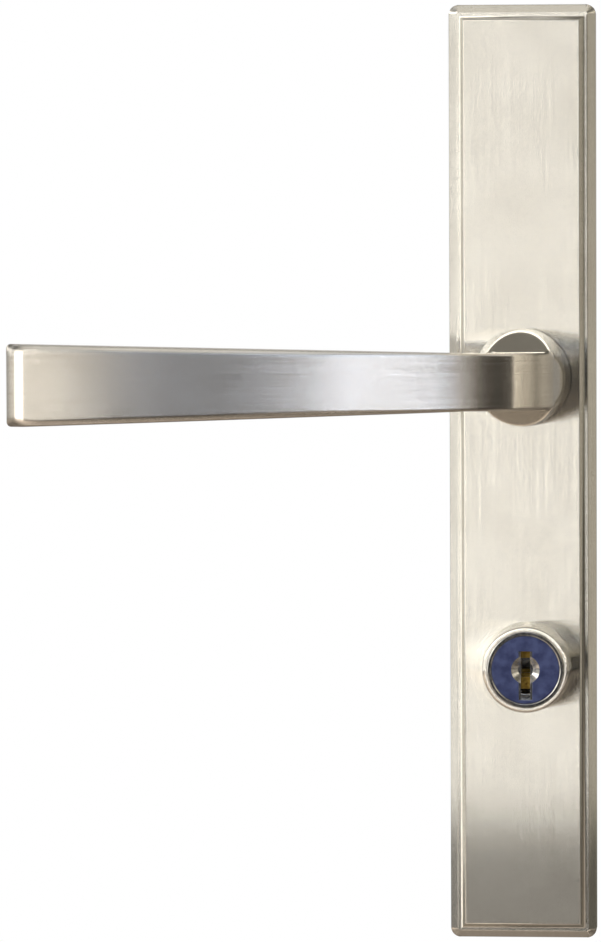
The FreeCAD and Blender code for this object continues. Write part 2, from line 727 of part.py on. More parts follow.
def make_housing():
    """Turned sleeve with a front lip and a seat for the plug's head."""
    body = new_body("lock_housing")
    head_bore = "(plug_head_radius + plug_fit)"
    bore = "(plug_radius + plug_fit)"
    seat = f"({HEAD_BACK} - cover_margin)"
    points = [(bore, "housing_end_depth"), ("housing_radius", "housing_end_depth"),
              ("housing_radius", LIP_SEAT), ("lip_radius", LIP_SEAT), ("lip_radius", LIP_FACE),
              (head_bore, LIP_FACE), (head_bore, seat), (bore, seat)]
    turned_profile(body, "housing", points)
    return on_lock_axis(body)


def make_nut_and_washer():
    washer = new_body("lock_washer")
    inner = "(housing_radius + running_fit)"
    washer_back = f"({CEILING} - washer_thickness)"
    turned_profile(washer, "washer", [(inner, washer_back), ("washer_radius", washer_back),
                                      ("washer_radius", CEILING), (inner, CEILING)])
    nut = new_body("lock_nut")
    face = new_sketch(nut, "nut_outline", "XZ_Plane", f"{washer_back} - nut_thickness")
    corner_angles = [30 + 60 * side for side in range(6)]
    add_outline(face, [(f"{NUT_CORNER}*cos({angle})", f"{NUT_CORNER}*sin({angle})") for angle in corner_angles])
    add_circle(face, "0", "0", "housing_radius + seat_fit")
    pad(face, "nut", "nut_thickness")
    return on_lock_axis(washer), on_lock_axis(nut)


def wafer_front(number):
    return f"(first_wafer_depth - {number}*wafer_pitch)"


def make_plug():
    """The turning core: head, barrel, dimple, keyway, wafer slots, clip groove and tail slot."""
    body = new_body("lock_plug")
    groove_front = f"({CLIP_FRONT} + running_fit)"
    groove_back = f"({CLIP_BACK} - running_fit)"
    points = [("0", "plug_end_depth"), ("plug_radius", "plug_end_depth"), ("plug_radius", groove_back),
              ("clip_groove_radius", groove_back), ("clip_groove_radius", groove_front),
              ("plug_radius", groove_front), ("plug_radius", HEAD_BACK), ("plug_head_radius", HEAD_BACK),
              ("plug_head_radius", HEAD_FACE), ("dimple_radius", HEAD_FACE),
              ("dimple_floor_radius", f"{HEAD_FACE} - dimple_depth"), ("0", f"{HEAD_FACE} - dimple_depth")]
    turned_profile(body, "core", points)

    keyway = new_sketch(body, "keyway_outline", "XZ_Plane", "key_slot_end_depth")
    half = "(key_slot_width/2)"
    add_box(keyway, f"-{half}", "-key_slot_below", half, "key_slot_above")
    pocket(keyway, "keyway", f"{HEAD_FACE} - key_slot_end_depth + seat_fit", forwards=True)

    slot_half = "(wafer_width/2 + wafer_play)"
    slots = new_sketch(body, "wafer_slot_outlines", "XY_Plane")
    for number in range(int(SIZES["wafer_count"])):
        front = wafer_front(number)
        add_box(slots, f"-{slot_half}", f"-({front} + wafer_play)",
                slot_half, f"-({front} - wafer_thickness - wafer_play)")
    through = pocket(slots, "wafer_slots", "4*plug_radius")
    through.SideType = "Symmetric"
    doc.recompute()

    tail = new_sketch(body, "tail_slot_outline", "XZ_Plane", "plug_end_depth")
    add_box(tail, "-(tailpiece_thickness/2 + seat_fit)", "-2*plug_radius",
            "tailpiece_thickness/2 + seat_fit", "2*plug_radius")
    pocket(tail, "tail_slot", "tailpiece_seat", forwards=True)
    cross = new_sketch(body, "tail_pin_outline", "YZ_Plane")
    add_circle(cross, "-(plug_end_depth + tailpiece_pin_inset)", "0", "tailpiece_pin_radius + seat_fit")
    hole = pocket(cross, "tail_pin_hole", "4*plug_radius")
    hole.SideType = "Symmetric"
    doc.recompute()
    return on_lock_axis(body)


def make_cover():
    body = new_body("plug_face_cover")
    face = new_sketch(body, "cover_outline", "XZ_Plane", HEAD_FACE)
    add_circle(face, "0", "0", "plug_head_radius - cover_margin")
    pad(face, "cover", "cover_thickness")
    dimple = new_sketch(body, "cover_hole_outline", "XZ_Plane", HEAD_FACE)
    add_circle(dimple, "0", "0", "dimple_radius")
    pocket(dimple, "cover_hole", "cover_thickness", forwards=True)
    slot = new_sketch(body, "cover_slot_outline", "XZ_Plane", HEAD_FACE)
    half = "(key_opening_width/2)"
    add_box(slot, f"-{half}", "-key_slot_below", half, "key_slot_above")
    pocket(slot, "cover_slot", "cover_thickness", forwards=True)
    return on_lock_axis(body)


def make_wafers():
    """Five brass wafers, pulled flush with the plug by their key cuts, and their springs."""
    wafers = []
    springs = []
    half_width = "(wafer_width/2)"
    half_height = f"(sqrt(plug_radius^2 - {half_width}^2) - wafer_play)"
    notch = "(2*wafer_spring_radius + 2*wafer_play)"
    spring_x = "(wafer_width/2 - wafer_spring_radius - wafer_play)"
    for number in range(int(SIZES["wafer_count"])):
        front = wafer_front(number)
        back = f"({front} - wafer_thickness)"
        body = new_body(f"lock_wafer_{number + 1}")
        flat = new_sketch(body, f"wafer_{number + 1}_outline", "XZ_Plane", back)
        step = f"({half_width} - {notch})"
        add_outline(flat, [(f"-{half_width}", f"-{half_height}"), (step, f"-{half_height}"), (step, "0"),
                           (half_width, "0"), (half_width, half_height), (f"-{half_width}", half_height)])
        low = f"({WAFER_CUTS[number]}*wafer_cut_step - wafer_window_height + key_slot_above/2)"
        add_box(flat, "-wafer_window_width/2", low, "wafer_window_width/2", f"{low} + wafer_window_height")
        pad(flat, f"wafer_{number + 1}", "wafer_thickness")
        wafers.append(on_lock_axis(body))
        tube = []
        for kind, radius in (("outer", "wafer_spring_radius"), ("inner", "wafer_spring_bore")):
            tube.append(new_cylinder(f"spring_{number + 1}_{kind}", radius, "wafer_spring_length",
                                     f"lock_offset + {spring_x}", f"{front} - wafer_thickness/2",
                                     "-lock_drop - wafer_spring_length", FreeCAD.Rotation()))
        springs.append(cut(f"wafer_spring_{number + 1}", tube[0], tube[1]))
    group = doc.addObject("Part::Compound", "lock_wafer_springs")
    group.Links = springs
    group.Label = "lock_wafer_springs"
    return wafers, group


def make_tailpiece():
    body = new_body("tailpiece")
    flat = new_sketch(body, "tailpiece_outline", "XZ_Plane", "tailpiece_end_depth")
    add_box(flat, "-tailpiece_thickness/2", "-tailpiece_width/2", "tailpiece_thickness/2", "tailpiece_width/2")
    front = "(plug_end_depth + tailpiece_seat - seat_fit)"
    pad(flat, "blade", f"{front} - tailpiece_end_depth")
    cross = new_sketch(body, "tailpiece_hole_outline", "YZ_Plane")
    depth = "(plug_end_depth + tailpiece_pin_inset)"
    add_circle(cross, f"-{depth}", "0", "tailpiece_pin_radius + seat_fit")
    hole = pocket(cross, "tailpiece_hole", "4*tailpiece_thickness")
    hole.SideType = "Symmetric"
    pin_half = "(plug_radius - plug_fit)"
    pin = new_cylinder("tailpiece_pin", "tailpiece_pin_radius", f"2*{pin_half}",
                       f"lock_offset - {pin_half}", depth, "-lock_drop", SIDEWAYS)
    return on_lock_axis(body), pin


plate = make_plate()
lever = make_lever()
add_journal(lever)
bushing = make_bushing()
driver = make_driver()
ring = make_ring("lever_retaining_ring", "ring_groove_radius", "ring_outer_radius", RING_BACK,
                 "ring_thickness", "ring_gap")
spring = make_spring()
spindle, spindle_pin = make_spindle()
posts = make_posts()
housing = make_housing()
washer, nut = make_nut_and_washer()
plug = make_plug()
cover = make_cover()
wafers, wafer_springs = make_wafers()
clip = on_lock_axis(make_ring("plug_clip", "clip_groove_radius", "clip_outer_radius", CLIP_BACK,
                              "clip_thickness", "clip_gap"))
tailpiece, tailpiece_pin = make_tailpiece()
doc.recompute()

nodes = [plate, lever, bushing, driver, ring, spring, spindle, spindle_pin, posts, housing, washer, nut,
         plug, cover, *wafers, wafer_springs, clip, tailpiece, tailpiece_pin]

faults = [item.Label for item in doc.Objects if {"Invalid", "Error"} & set(item.State)]
for node in nodes:
    if node.Shape.isNull() or not node.Shape.isValid() or not node.Shape.Solids:
        faults.append(node.Label)
if faults:
    raise SystemExit("these objects failed: " + ", ".join(faults))
for node in nodes:
    node.Shape.exportStep(os.path.join("parts", node.Label + ".step"))
    box = node.Shape.BoundBox
    print(f"{node.Label}: {len(node.Shape.Solids)} solid, {node.Shape.Volume:.1f} mm3,",
          f"x {box.XMin:.1f} to {box.XMax:.1f}, y {box.YMin:.1f} to {box.YMax:.1f},",
          f"z {box.ZMin:.1f} to {box.ZMax:.1f}")
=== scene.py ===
# %% [markdown]
# A storm-door handle set: a long bevelled plate, a lever that points left and a key cylinder below.
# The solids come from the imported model, which is loaded first and never moved. Blender adds the looks:
# smooth castings with rounded edges, brushed nickel, a blue enamelled lock face, brass wafers.

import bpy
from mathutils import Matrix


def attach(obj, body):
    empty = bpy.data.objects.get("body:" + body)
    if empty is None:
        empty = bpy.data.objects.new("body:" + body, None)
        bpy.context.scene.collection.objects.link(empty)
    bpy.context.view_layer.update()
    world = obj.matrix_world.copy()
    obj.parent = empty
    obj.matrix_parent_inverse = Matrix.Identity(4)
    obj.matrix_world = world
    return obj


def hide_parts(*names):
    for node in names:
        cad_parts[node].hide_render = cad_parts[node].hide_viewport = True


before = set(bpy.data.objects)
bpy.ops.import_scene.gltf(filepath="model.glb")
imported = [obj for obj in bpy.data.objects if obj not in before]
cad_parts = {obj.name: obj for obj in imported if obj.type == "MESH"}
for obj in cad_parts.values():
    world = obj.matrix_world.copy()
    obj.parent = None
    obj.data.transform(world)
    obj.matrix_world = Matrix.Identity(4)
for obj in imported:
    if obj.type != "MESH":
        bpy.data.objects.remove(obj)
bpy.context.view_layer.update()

# %% [markdown]
# Every length below is written in millimetres, as on a drawing, and turned to metres by one factor.
# A depth is a distance in front of the plate's back face, so a point at depth d has y = -d.

# %% Units and imports
import math

import bmesh
import bpy
import numpy as np
from mathutils import Matrix, Vector

MM = 0.001


def to_world(x, depth, z):
    """Return an array of points in metres: x stays, y is minus the depth, z stays, all times MM."""
    return np.stack(np.broadcast_arrays(x, -np.asarray(depth), z), axis=-1) * MM


print("a point 8.5 mm in front of the door, in metres:", to_world(0, 8.5, 0))

# %% [markdown]
# The camera stands 1.5 m away with a long lens, because the plate's sides run nearly parallel in the
# photograph. It is right of the plate and above the lever: the lock shows a little of its upper left.

# %% Camera
CAMERA_PLACE = (67, 1500, 67)
CAMERA_TARGET = (-57.55, 8.5, -24.26)
CAMERA_ROLL = -0.26
FRAME_HEIGHT_PX = 942
FOCAL_PX = 5776
SENSOR_MM = 36
NEAREST_SEEN = 50

camera_data = bpy.data.cameras.new("camera")
camera = bpy.data.objects.new("camera", camera_data)
bpy.context.scene.collection.objects.link(camera)
camera_data.sensor_width = SENSOR_MM
camera_data.lens = FOCAL_PX / FRAME_HEIGHT_PX * SENSOR_MM
camera_data.clip_start = NEAREST_SEEN * MM
place = Vector(to_world(*CAMERA_PLACE))
look = Vector(to_world(*CAMERA_TARGET)) - place
camera.location = place
aim = look.to_track_quat("-Z", "Y").to_matrix().to_4x4()
roll = math.radians(CAMERA_ROLL)
camera.rotation_euler = (aim @ Matrix.Rotation(roll, 4, "Z")).to_euler()
bpy.context.scene.camera = camera
bpy.context.scene.view_settings.view_transform = "Standard"
print(f"lens {camera_data.lens:.0f} mm, {look.length:.2f} m from what it looks at")

# %% [markdown]
# Colours are picked as hex values, as in a paint program. A renderer adds light in linear units, so
# one function undoes the sRGB curve.


# %% Colours and shader nodes
def linear(hex_colour):
    """Turn a hex colour such as "c8b890" to linear red, green, blue and alpha.
    Each channel c of 0..1 becomes c/12.92 below 0.04045 and ((c + 0.055)/1.055)^2.4 above it."""
    channels = [int(hex_colour[i:i + 2], 16) / 255 for i in (0, 2, 4)]
    return tuple(c / 12.92 if c <= 0.04045 else ((c + 0.055) / 1.055) ** 2.4 for c in channels) + (1.0,)


def add_node(tree, kind, inputs=None, **settings):
    """Add a shader node. inputs maps a socket's name or number to a value, or to a (node, output) link."""
    made = tree.nodes.new(kind)
    for name, value in settings.items():
        setattr(made, name, value)
    for socket, value in (inputs or {}).items():
        if isinstance(value, tuple) and isinstance(value[0], bpy.types.Node):
            tree.links.new(value[0].outputs[value[1]], made.inputs[socket])
        else:
            made.inputs[socket].default_value = value
    return made


def new_material(name):
    """Make a material whose tree holds a Principled shader joined to the output, and return all three."""
    material = bpy.data.materials.new(name)
    material.use_nodes = True
    tree = material.node_tree
    return material, tree, tree.nodes["Principled BSDF"]


def set_ramp(ramp, stops):
    """Fill a colour ramp with (position, colour) stops."""
    elements = ramp.color_ramp.elements
    while len(elements) < len(stops):
        elements.new(0.5)
    for element, (position, colour) in zip(elements, stops):
        element.position = position
        element.color = colour


print("half way on screen is", round(linear("808080")[0], 3), "of full light")

# %% [markdown]
# The studio is the world, and brushed metal shows it in two ways. The lever's scratches run sideways,
# so its face draws the room's light from left to right: a lamp, a gap, the window behind the camera,
# a dark wall. The plate's scratches run upright, so each point gathers a wide fan of light from the
# sides, most of it from the big key lamp at the left. Where the lever or the lock stands in that
# fan's way, the plate beside it goes dark. The key lamp ends just below eye level, and so does the
# brightness of the plate. The rest of the room's light comes from above and below eye level, where
# the lever gathers it and the plate's shadows don't.

# %% Studio light: how bright the room is
# Degrees to the right of straight towards the camera, then how bright the room is there.
ROOM_AROUND = [
    (-180, 0.4), (-134, 0.4), (-90, 0.8), (-60, 1.8), (-16, 1.8), (-12.8, 1.65), (-11.5, 1.38),
    (-9.8, 0.82), (-7.8, 0.63), (-5.8, 0.65), (-3.7, 0.68), (-1.6, 1.35), (0.3, 2.45), (2.3, 2.6),
    (4, 1.9), (6.5, 1.45), (9.2, 0.9), (11.5, 0.3), (13.3, 0.12), (15.6, 0.1), (19, 0.4), (27, 1.35),
    (50, 0.9), (79, 0.15), (134, 0.08), (180, 0.3),
]
# Degrees above the horizon, then the share of the room's light that is left.
ROOM_UPWARD = [
    (-90, 1.8), (-62, 0.9), (-46, 0.3), (-30, 0.3), (-22, 2.2), (-14, 2.4), (-10, 0.04), (11, 0.04),
    (15, 2.2), (26, 2.2), (32, 0.25), (50, 0.25), (75, 1.5), (90, 1.5),
]
# The key lamp, and paler walls far to the left and right that only the plate's bevelled edges face.
KEY_AROUND = [
    (-180, 0.5), (-134, 0.6), (-100, 0.75), (-75, 0.5), (-62, 3.0), (-24, 3.0), (-18, 0), (45, 0),
    (60, 0.3), (100, 0.65), (135, 0.5), (180, 0.25),
]
KEY_UPWARD = [(-12, 1.0), (-1.5, 1.0), (1.5, 0.92), (14, 0.9), (24, 0)]
# The colour of the light round the room: cool from the window behind the camera, warm from the right.
TINT_AROUND = [
    (-180, "fffcf6"), (-12, "fffcf6"), (-8, "e2ecff"), (6, "e2ecff"), (12, "fff6ea"), (27, "fff6e2"),
    (80, "fff5e0"), (134, "fff6e6"), (180, "fffcf6"),
]
FLOOR_TINT = "ffeedc"
# The lamps' lower edge, in degrees, and the share of their light that the floor sends back.
LAMP_FOOT = (-7.2, -6.7)
FLOOR_SHARE = 0.27
BRIGHTEST = 3.0
# Well above and below the horizon the room's light is the same all the way round.
EVEN_LEVEL = 0.75
EVEN_FROM, EVEN_TO = 25, 60
print("studio:", len(ROOM_AROUND), "levels round the room,", len(ROOM_UPWARD), "from floor to ceiling")

# %% [markdown]
# Lamps could be placed as objects, but a near lamp lights one end of the plate more than the other.
# The world is infinitely far away. Its shader turns each direction into two numbers, how far round
# and how high it points, and reads colour ramps, filled from the tables, at them.

# %% Studio light: from tables to light
world = bpy.data.worlds.new("studio")
bpy.context.scene.world = world
world.use_nodes = True
sky = world.node_tree
sky.nodes.clear()


def grey(level):
    """Return the colour with this level in red, green and blue."""
    return (level,) * 3 + (1,)


def light_ramp(source, stops, span):
    """Return a colour ramp over source, a 0..1 value, with stops at (degrees, brightness)."""
    ramp = add_node(sky, "ShaderNodeValToRGB", {"Fac": source})
    low, high = span
    set_ramp(ramp, [((angle - low) / (high - low), grey(light / BRIGHTEST)) for angle, light in stops])
    return ramp


def mix_colours(factor, first, second, blend="MIX"):
    """Return a node that mixes two colours. Its result is output 2."""
    return add_node(sky, "ShaderNodeMix", {"Factor": factor, 6: first, 7: second},
                    data_type="RGBA", blend_type=blend)


direction = add_node(sky, "ShaderNodeTexCoord")
parts = add_node(sky, "ShaderNodeSeparateXYZ", {0: (direction, "Object")})
towards = add_node(sky, "ShaderNodeMath", {0: (parts, "Y"), 1: -1.0}, operation="MULTIPLY")
azimuth = add_node(sky, "ShaderNodeMath", {0: (parts, "X"), 1: (towards, 0)}, operation="ARCTAN2")
round_share = add_node(sky, "ShaderNodeMapRange", {"Value": (azimuth, 0), "From Min": -math.pi,
                                                   "From Max": math.pi})
height = add_node(sky, "ShaderNodeMath", {0: (parts, "Z")}, operation="ARCSINE")
height_share = add_node(sky, "ShaderNodeMapRange", {"Value": (height, 0), "From Min": -math.pi / 2,
                                                    "From Max": math.pi / 2})
tilt = add_node(sky, "ShaderNodeMath", {0: (height, 0)}, operation="ABSOLUTE")
even = add_node(sky, "ShaderNodeMapRange", {"Value": (tilt, 0), "From Min": math.radians(EVEN_FROM),
                                            "From Max": math.radians(EVEN_TO)})
room_around = light_ramp((round_share, 0), ROOM_AROUND, (-180, 180))
room_upward = light_ramp((height_share, 0), ROOM_UPWARD, (-90, 90))
key_around = light_ramp((round_share, 0), KEY_AROUND, (-180, 180))
key_upward = light_ramp((height_share, 0), KEY_UPWARD, (-90, 90))
evened = mix_colours((even, 0), (room_around, 0), grey(EVEN_LEVEL / BRIGHTEST))
room = mix_colours(1.0, (evened, 2), (room_upward, 0), "MULTIPLY")
key = mix_colours(1.0, (key_around, 0), (key_upward, 0), "MULTIPLY")
both = mix_colours(1.0, (room, 2), (key, 2), "ADD")
# A ramp is only a table of 256 colours, too coarse for the lamps' sharp lower edge.
over_foot = add_node(sky, "ShaderNodeMapRange", {
    "Value": (height, 0), "From Min": math.radians(LAMP_FOOT[0]), "From Max": math.radians(LAMP_FOOT[1]),
    "To Min": FLOOR_SHARE})
lit = add_node(sky, "ShaderNodeVectorMath", {0: (both, 2), "Scale": (over_foot, 0)}, operation="SCALE")
below = add_node(sky, "ShaderNodeMapRange", {
    "Value": (height, 0), "From Min": math.radians(LAMP_FOOT[1]),
    "From Max": math.radians(2 * LAMP_FOOT[0])})
tint_around = add_node(sky, "ShaderNodeValToRGB", {"Fac": (round_share, 0)})
set_ramp(tint_around, [((angle + 180) / 360, linear(colour)) for angle, colour in TINT_AROUND])
tint = mix_colours((below, 0), (tint_around, 0), linear(FLOOR_TINT))
tinted = mix_colours(1.0, (lit, 0), (tint, 2), "MULTIPLY")
print("nodes that make the light:", len(sky.nodes))

# %% [markdown]
# A photographer hides the lamps from the lens with a white sheet. A renderer can do so by the kind of
# ray: the camera, and what looks through glass, sees plain white. A ray that a metal reflects sees the
# lamps and dark walls instead. Everything matt is lit by one plain soft level.

# %% Studio light: what each ray sees
PLAIN_LEVEL = 0.9
PLAIN_TINT = "fffdf8"

path = add_node(sky, "ShaderNodeLightPath")
lamps = add_node(sky, "ShaderNodeVectorMath", {0: (tinted, 2), "Scale": BRIGHTEST ** 2}, operation="SCALE")
backdrop = mix_colours((path, "Is Glossy Ray"), grey(1), (lamps, 0))
white = add_node(sky, "ShaderNodeBackground", {"Color": (backdrop, 2), "Strength": 1.0})
plain_light = add_node(sky, "ShaderNodeBackground", {"Color": linear(PLAIN_TINT),
                                                     "Strength": PLAIN_LEVEL})
camera_or_glossy = add_node(sky, "ShaderNodeMath", {0: (path, "Is Camera Ray"), 1: (path, "Is Glossy Ray")},
                            operation="MAXIMUM")
sees_white = add_node(sky, "ShaderNodeMath", {0: (camera_or_glossy, 0), 1: (path, "Is Transmission Ray")},
                      operation="MAXIMUM")
seen = add_node(sky, "ShaderNodeMixShader", {0: (sees_white, 0), 1: (plain_light, 0), 2: (white, 0)})
add_node(sky, "ShaderNodeOutputWorld", {"Surface": (seen, 0)})
print("nodes of the world:", len(sky.nodes))

# %% [markdown]
# The handle set hangs in the air as in the photograph, held by its posts. A pale floor lies well below
# it and fades out, so that it shows under the part in the views from above and never in a mirror image
# on the plate.

# %% Floor
FLOOR_DROP = 350
FLOOR_RADIUS = 700
FLOOR_SIDES = 96
FADE_FROM = 300

turns = np.linspace(0, 2 * np.pi, FLOOR_SIDES, endpoint=False)
rim = to_world(FLOOR_RADIUS * np.cos(turns), FLOOR_RADIUS * np.sin(turns), -FLOOR_DROP + 0 * turns)[::-1]
floor_mesh = bpy.data.meshes.new("floor")
floor_mesh.from_pydata([tuple(p) for p in rim], [], [list(range(FLOOR_SIDES))])
floor = bpy.data.objects.new("floor", floor_mesh)
bpy.context.scene.collection.objects.link(floor)
floor_material, tree, shader = new_material("floor_paper_white")
shader.inputs["Base Color"].default_value = linear("f2f2f0")
shader.inputs["Roughness"].default_value = 0.9
where = add_node(tree, "ShaderNodeTexCoord")
flat = add_node(tree, "ShaderNodeVectorMath", {0: (where, "Object"), 1: (1, 1, 0)}, operation="MULTIPLY")
far = add_node(tree, "ShaderNodeVectorMath", {0: (flat, 0)}, operation="LENGTH")
edge = add_node(tree, "ShaderNodeMapRange", {
    "Value": (far, "Value"), "From Min": FADE_FROM * MM, "From Max": FLOOR_RADIUS * MM})
clear = add_node(tree, "ShaderNodeBsdfTransparent")
path = add_node(tree, "ShaderNodeLightPath")
unseen = add_node(tree, "ShaderNodeMath", {0: (edge, 0), 1: (path, "Is Glossy Ray")}, operation="MAXIMUM")
soft = add_node(tree, "ShaderNodeMixShader", {0: (unseen, 0), 1: (shader, 0), 2: (clear, 0)})
tree.links.new(soft.outputs[0], tree.nodes["Material Output"].inputs["Surface"])
floor_mesh.materials.append(floor_material)
print("floor:", FLOOR_RADIUS * 2, "mm across,", FLOOR_DROP, "mm below the lever")

# %% [markdown]
# Brushed nickel is zinc or brass, nickel plated and then brushed with a fine belt. The belt leaves
# scratches a few hundredths of a millimetre wide, all one way. Their walls throw light sideways, so a
# reflection smears across them and stays sharp along them. Two things make that here: an
# anisotropic shader, whose tangent runs across the scratches, and a random number at every point that
# tips the normal to either side, because the walls of the finest scratches are too small to draw. A
# coarser noise, drawn out along the scratches, gives the streaks that the eye sees.

# %% Brushed nickel
# The scratches are near 0.05 mm wide on the real plate. Streaks are drawn wider, so that they show.
STREAK_MM = (0.35, 45)
STREAK_SLOPE = 0.022
CLOUD_MM = 16
CLOUD_SHARE = 0.4
GLOSS_WAVER = 0.01
# Where on the noise the darker tone ends and the lighter one starts.
TONE_DARK, TONE_LIGHT = 0.36, 0.64
# A noise stays almost wholly between these two values.
NOISE_LOW, NOISE_HIGH = 0.3, 0.7


def drawn_out(tree, source, along, width_mm, length_mm):
    """Scale coordinates in metres so that a noise is this wide, and this long on axis number along."""
    per_metre = [1 / (width_mm * MM)] * 3
    per_metre[along] = 1 / (length_mm * MM)
    return add_node(tree, "ShaderNodeMapping", {0: source, "Scale": per_metre})


def brushed_nickel(name, light_hex, dark_hex, roughness, side_throw):
    """Make a brushed metal. The scratches follow the second axis of the UV map "grain", in metres;
    side_throw is how far the fine scratches tip the normal, as a slope."""
    material, tree, shader = new_material(name)
    where = add_node(tree, "ShaderNodeTexCoord")
    grain = add_node(tree, "ShaderNodeUVMap", uv_map="grain")
    streak_place = drawn_out(tree, (grain, 0), 1, *STREAK_MM)
    streaks = add_node(tree, "ShaderNodeTexNoise", {
        "Vector": (streak_place, 0), "Scale": 1.0, "Detail": 4.0, "Roughness": 0.65})
    clouds = add_node(tree, "ShaderNodeTexNoise", {
        "Vector": (where, "Object"), "Scale": 1 / (CLOUD_MM * MM), "Detail": 3.0})
    tones = add_node(tree, "ShaderNodeMix", {"Factor": CLOUD_SHARE, "A": (streaks, 0), "B": (clouds, 0)})
    colour = add_node(tree, "ShaderNodeValToRGB", {"Fac": (tones, 0)})
    set_ramp(colour, [(TONE_DARK, linear(dark_hex)), (TONE_LIGHT, linear(light_hex))])
    gloss = add_node(tree, "ShaderNodeMapRange", {
        "Value": (streaks, 0), "From Min": NOISE_LOW, "From Max": NOISE_HIGH,
        "To Min": roughness - GLOSS_WAVER, "To Max": roughness + GLOSS_WAVER})
    across = add_node(tree, "ShaderNodeTangent", direction_type="UV_MAP", uv_map="grain")
    anywhere = add_node(tree, "ShaderNodeTexWhiteNoise", {"Vector": (where, "Object")})
    wall = add_node(tree, "ShaderNodeMapRange", {
        "Value": (anywhere, 0), "To Min": -side_throw, "To Max": side_throw})
    sway = add_node(tree, "ShaderNodeMapRange", {
        "Value": (streaks, 0), "From Min": NOISE_LOW, "From Max": NOISE_HIGH,
        "To Min": -STREAK_SLOPE, "To Max": STREAK_SLOPE})
    slope = add_node(tree, "ShaderNodeMath", {0: (wall, 0), 1: (sway, 0)}, operation="ADD")
    sideways = add_node(tree, "ShaderNodeVectorMath", {0: (across, 0), "Scale": (slope, 0)},
                        operation="SCALE")
    surface = add_node(tree, "ShaderNodeNewGeometry")
    tipped = add_node(tree, "ShaderNodeVectorMath", {0: (surface, "Normal"), 1: (sideways, 0)},
                      operation="ADD")
    facing = add_node(tree, "ShaderNodeVectorMath", {0: (tipped, 0)}, operation="NORMALIZE")
    tree.links.new(colour.outputs["Color"], shader.inputs["Base Color"])
    tree.links.new(gloss.outputs[0], shader.inputs["Roughness"])
    tree.links.new(facing.outputs[0], shader.inputs["Normal"])
    tree.links.new(across.outputs[0], shader.inputs["Tangent"])
    shader.inputs["Metallic"].default_value = 1.0
    shader.inputs["Anisotropic"].default_value = 1.0
    return material


# Both look soft and pale across the scratches and glossy along them; the plate's throw is the wider.
plate_nickel = brushed_nickel("brushed_nickel_upright", "e8e5dd", "dcd8cf", 0.09, 0.5)
lever_nickel = brushed_nickel("brushed_nickel_along_the_lever", "e0dcd4", "cfcac0", 0.13, 0.3)
print("made", plate_nickel.name, "and", lever_nickel.name)

# %% [markdown]
# The other finishes are plainer. Bright nickel is polished before plating and left alone. The lock's
# face is dark blue enamel, fired on and glossy. The wafers are plain stamped brass, the hidden
# steel parts are zinc plated or oiled spring steel, and the bearing is moulded acetal, a waxy white
# plastic.


# %% Turned, plated and moulded finishes
RELIEF_MM = 0.02
# How far the roughness goes below and above its middle value.
METAL_WAVER = (0.04, 0.06)
COAT_WAVER = 0.05
COAT_DARK, COAT_LIGHT = 0.35, 0.65


def plain_metal(name, light_hex, dark_hex, roughness, grain_mm, relief_strength=0.05):
    """Make a metal whose colour and roughness waver with a fine noise of this grain."""
    material, tree, shader = new_material(name)
    where = add_node(tree, "ShaderNodeTexCoord")
    grain = add_node(tree, "ShaderNodeTexNoise", {"Vector": (where, "Object"), "Scale": 1 / (grain_mm * MM),
                                                  "Detail": 4.0})
    colour = add_node(tree, "ShaderNodeValToRGB", {"Fac": (grain, 0)})
    set_ramp(colour, [(NOISE_LOW, linear(dark_hex)), (NOISE_HIGH, linear(light_hex))])
    gloss = add_node(tree, "ShaderNodeMapRange", {
        "Value": (grain, 0), "From Min": NOISE_LOW, "From Max": NOISE_HIGH,
        "To Min": roughness - METAL_WAVER[0], "To Max": roughness + METAL_WAVER[1]})
    relief = add_node(tree, "ShaderNodeBump", {
        "Height": (grain, 0), "Strength": relief_strength, "Distance": RELIEF_MM * MM})
    tree.links.new(colour.outputs["Color"], shader.inputs["Base Color"])
    tree.links.new(gloss.outputs[0], shader.inputs["Roughness"])
    tree.links.new(relief.outputs[0], shader.inputs["Normal"])
    shader.inputs["Metallic"].default_value = 1.0
    return material


# Turned and polished: a mirror with the last trace of the tool in it.
bright_nickel = plain_metal("bright_nickel_turned", "dcdad6", "c6c4be", 0.16, 0.6)
# Stamped from sheet and worn by keys: yellow, with darker spots.
brass = plain_metal("plain_brass_stamped", "b79a4e", "8a6f30", 0.3, 0.8, 0.2)
# Zinc gives a cool, slightly milky grey with faint clouds.
zinc_steel = plain_metal("zinc_plated_steel", "c6c9cc", "b4b8bd", 0.3, 3)
# Oil keeps spring steel dark and a little glossy.
spring_steel = plain_metal("oiled_spring_steel", "84827e", "5c5a57", 0.3, 0.8, 0.1)


def coated(name, light_hex, dark_hex, roughness, grain_mm, index):
    """Make a coat or plastic: not metal, with a colour that wavers with a noise of this grain."""
    material, tree, shader = new_material(name)
    where = add_node(tree, "ShaderNodeTexCoord")
    grain = add_node(tree, "ShaderNodeTexNoise", {"Vector": (where, "Object"), "Scale": 1 / (grain_mm * MM),
                                                  "Detail": 3.0})
    colour = add_node(tree, "ShaderNodeValToRGB", {"Fac": (grain, 0)})
    set_ramp(colour, [(COAT_DARK, linear(dark_hex)), (COAT_LIGHT, linear(light_hex))])
    gloss = add_node(tree, "ShaderNodeMapRange", {
        "Value": (grain, 0), "To Min": roughness - COAT_WAVER, "To Max": roughness + COAT_WAVER})
    tree.links.new(colour.outputs["Color"], shader.inputs["Base Color"])
    tree.links.new(gloss.outputs[0], shader.inputs["Roughness"])
    shader.inputs["IOR"].default_value = index
    return material


# Enamel pools as it is fired, so its blue is uneven and its gloss is that of glass.
blue_enamel = coated("dark_blue_enamel", "414b76", "28315a", 0.32, 2.5, 1.52)
# Moulded acetal is an even, waxy white.
acetal = coated("moulded_acetal", "efece4", "e4e0d6", 0.45, 3.0, 1.48)
print("made", len(bpy.data.materials), "materials")

